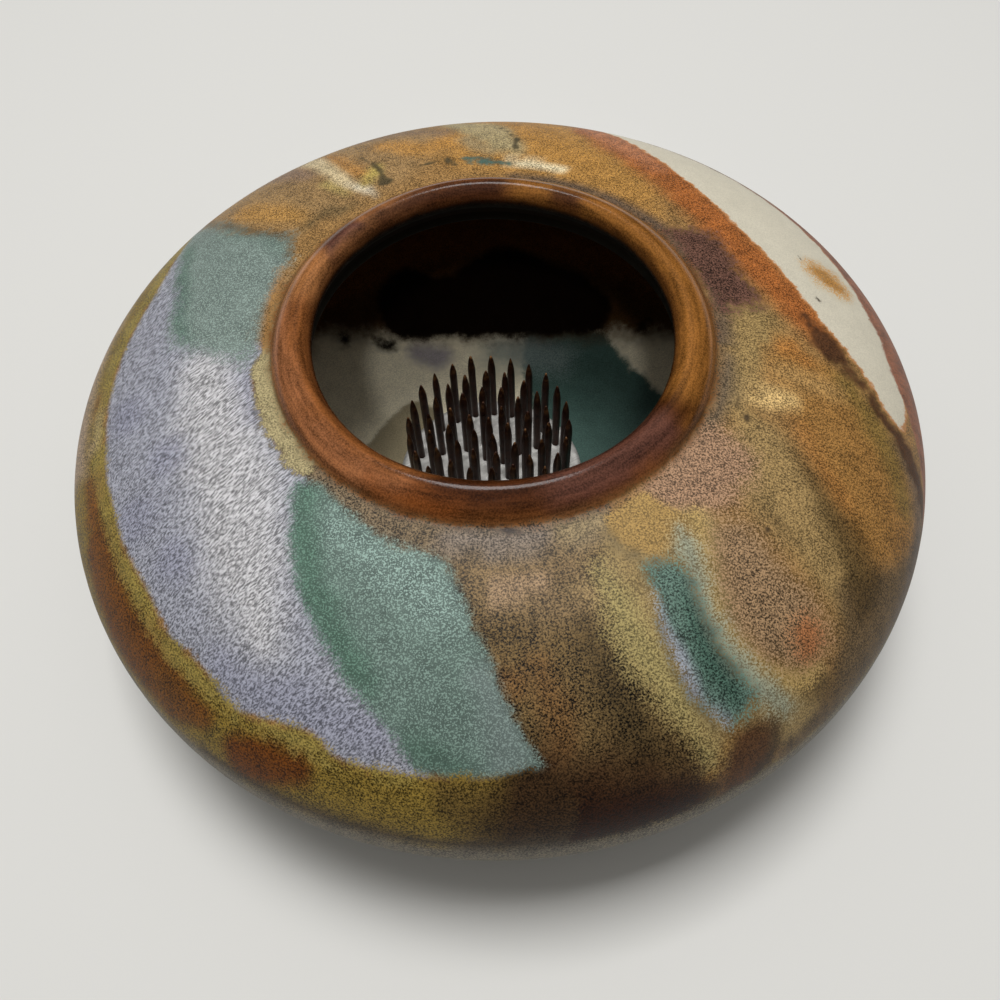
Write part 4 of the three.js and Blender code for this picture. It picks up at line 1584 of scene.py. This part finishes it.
# %% Floor
FLOOR_SIZE = 3.0
half = FLOOR_SIZE / 2
floor_mesh = bpy.data.meshes.new("floor")
floor_corners = [(-half, -half, 0), (half, -half, 0), (half, half, 0), (-half, half, 0)]
floor_mesh.from_pydata(floor_corners, [], [(0, 1, 2, 3)])
floor = bpy.data.objects.new("floor", floor_mesh)
bpy.context.scene.collection.objects.link(floor)
floor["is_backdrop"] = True
floor_paper, paper_shader = new_material("floor_paper")
fill(floor_paper.node_tree, paper_shader, {"Base Color": paint(222, 221, 217), "Roughness": 0.8})
floor_mesh.materials.append(floor_paper)
print("floor", FLOOR_SIZE, "m wide")

# %% Light
HORIZON_GLOW = (0.03, 0.03, 0.03, 1.0)
OVERHEAD_GLOW = (0.95, 0.944, 0.925, 1.0)
world = bpy.data.worlds.new("studio")
world.use_nodes = True
tree = world.node_tree
sky = node(tree, "ShaderNodeTexCoord").outputs["Generated"]
height = node(tree, "ShaderNodeSeparateXYZ", {"Vector": sky}).outputs["Z"]
share = ramp(tree, height, 0.35, 0.95, kind="SMOOTHSTEP")
glow = mix(tree, share, HORIZON_GLOW, OVERHEAD_GLOW)
fill(tree, tree.nodes["Background"], {"Color": glow, "Strength": 0.5})
bpy.context.scene.world = world

LAMP_PLACE = (-0.04, 0.14, 1.1)
LAMP_AIM = (0.0, 0.0, 0.0)
SPOT_PLACE = (-0.028, -0.35, 0.57)
SPOT_AIM = (0.0, 0.012, 0.04)


def light(name, kind, place, aim, **settings):
    """A light at a place, turned towards its aim."""
    made = bpy.data.objects.new(name, bpy.data.lights.new(name, kind))
    for key, value in settings.items():
        setattr(made.data, key, value)
    made.location = place
    made.rotation_euler = (Vector(place) - Vector(aim)).to_track_quat("Z", "Y").to_euler()
    bpy.context.scene.collection.objects.link(made)
    return made


lamp = light("overhead_lamp", "AREA", LAMP_PLACE, LAMP_AIM, size=0.42, energy=9.2)
mouth_spot = light("mouth_spot", "SPOT", SPOT_PLACE, SPOT_AIM, energy=3.7, shadow_soft_size=0.045)
mouth_spot.data.spot_size = math.radians(8.4)
mouth_spot.data.spot_blend = 0.5
mouth_spot.visible_glossy = False
bpy.context.scene.view_settings.view_transform = "Standard"
print("lamp", round(lamp.data.energy, 1), "W and spot", round(mouth_spot.data.energy, 1), "W")

# %% Sizes and finish
low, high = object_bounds()
print("visual box", [round(v / MM, 2) for v in (*low, *high)])
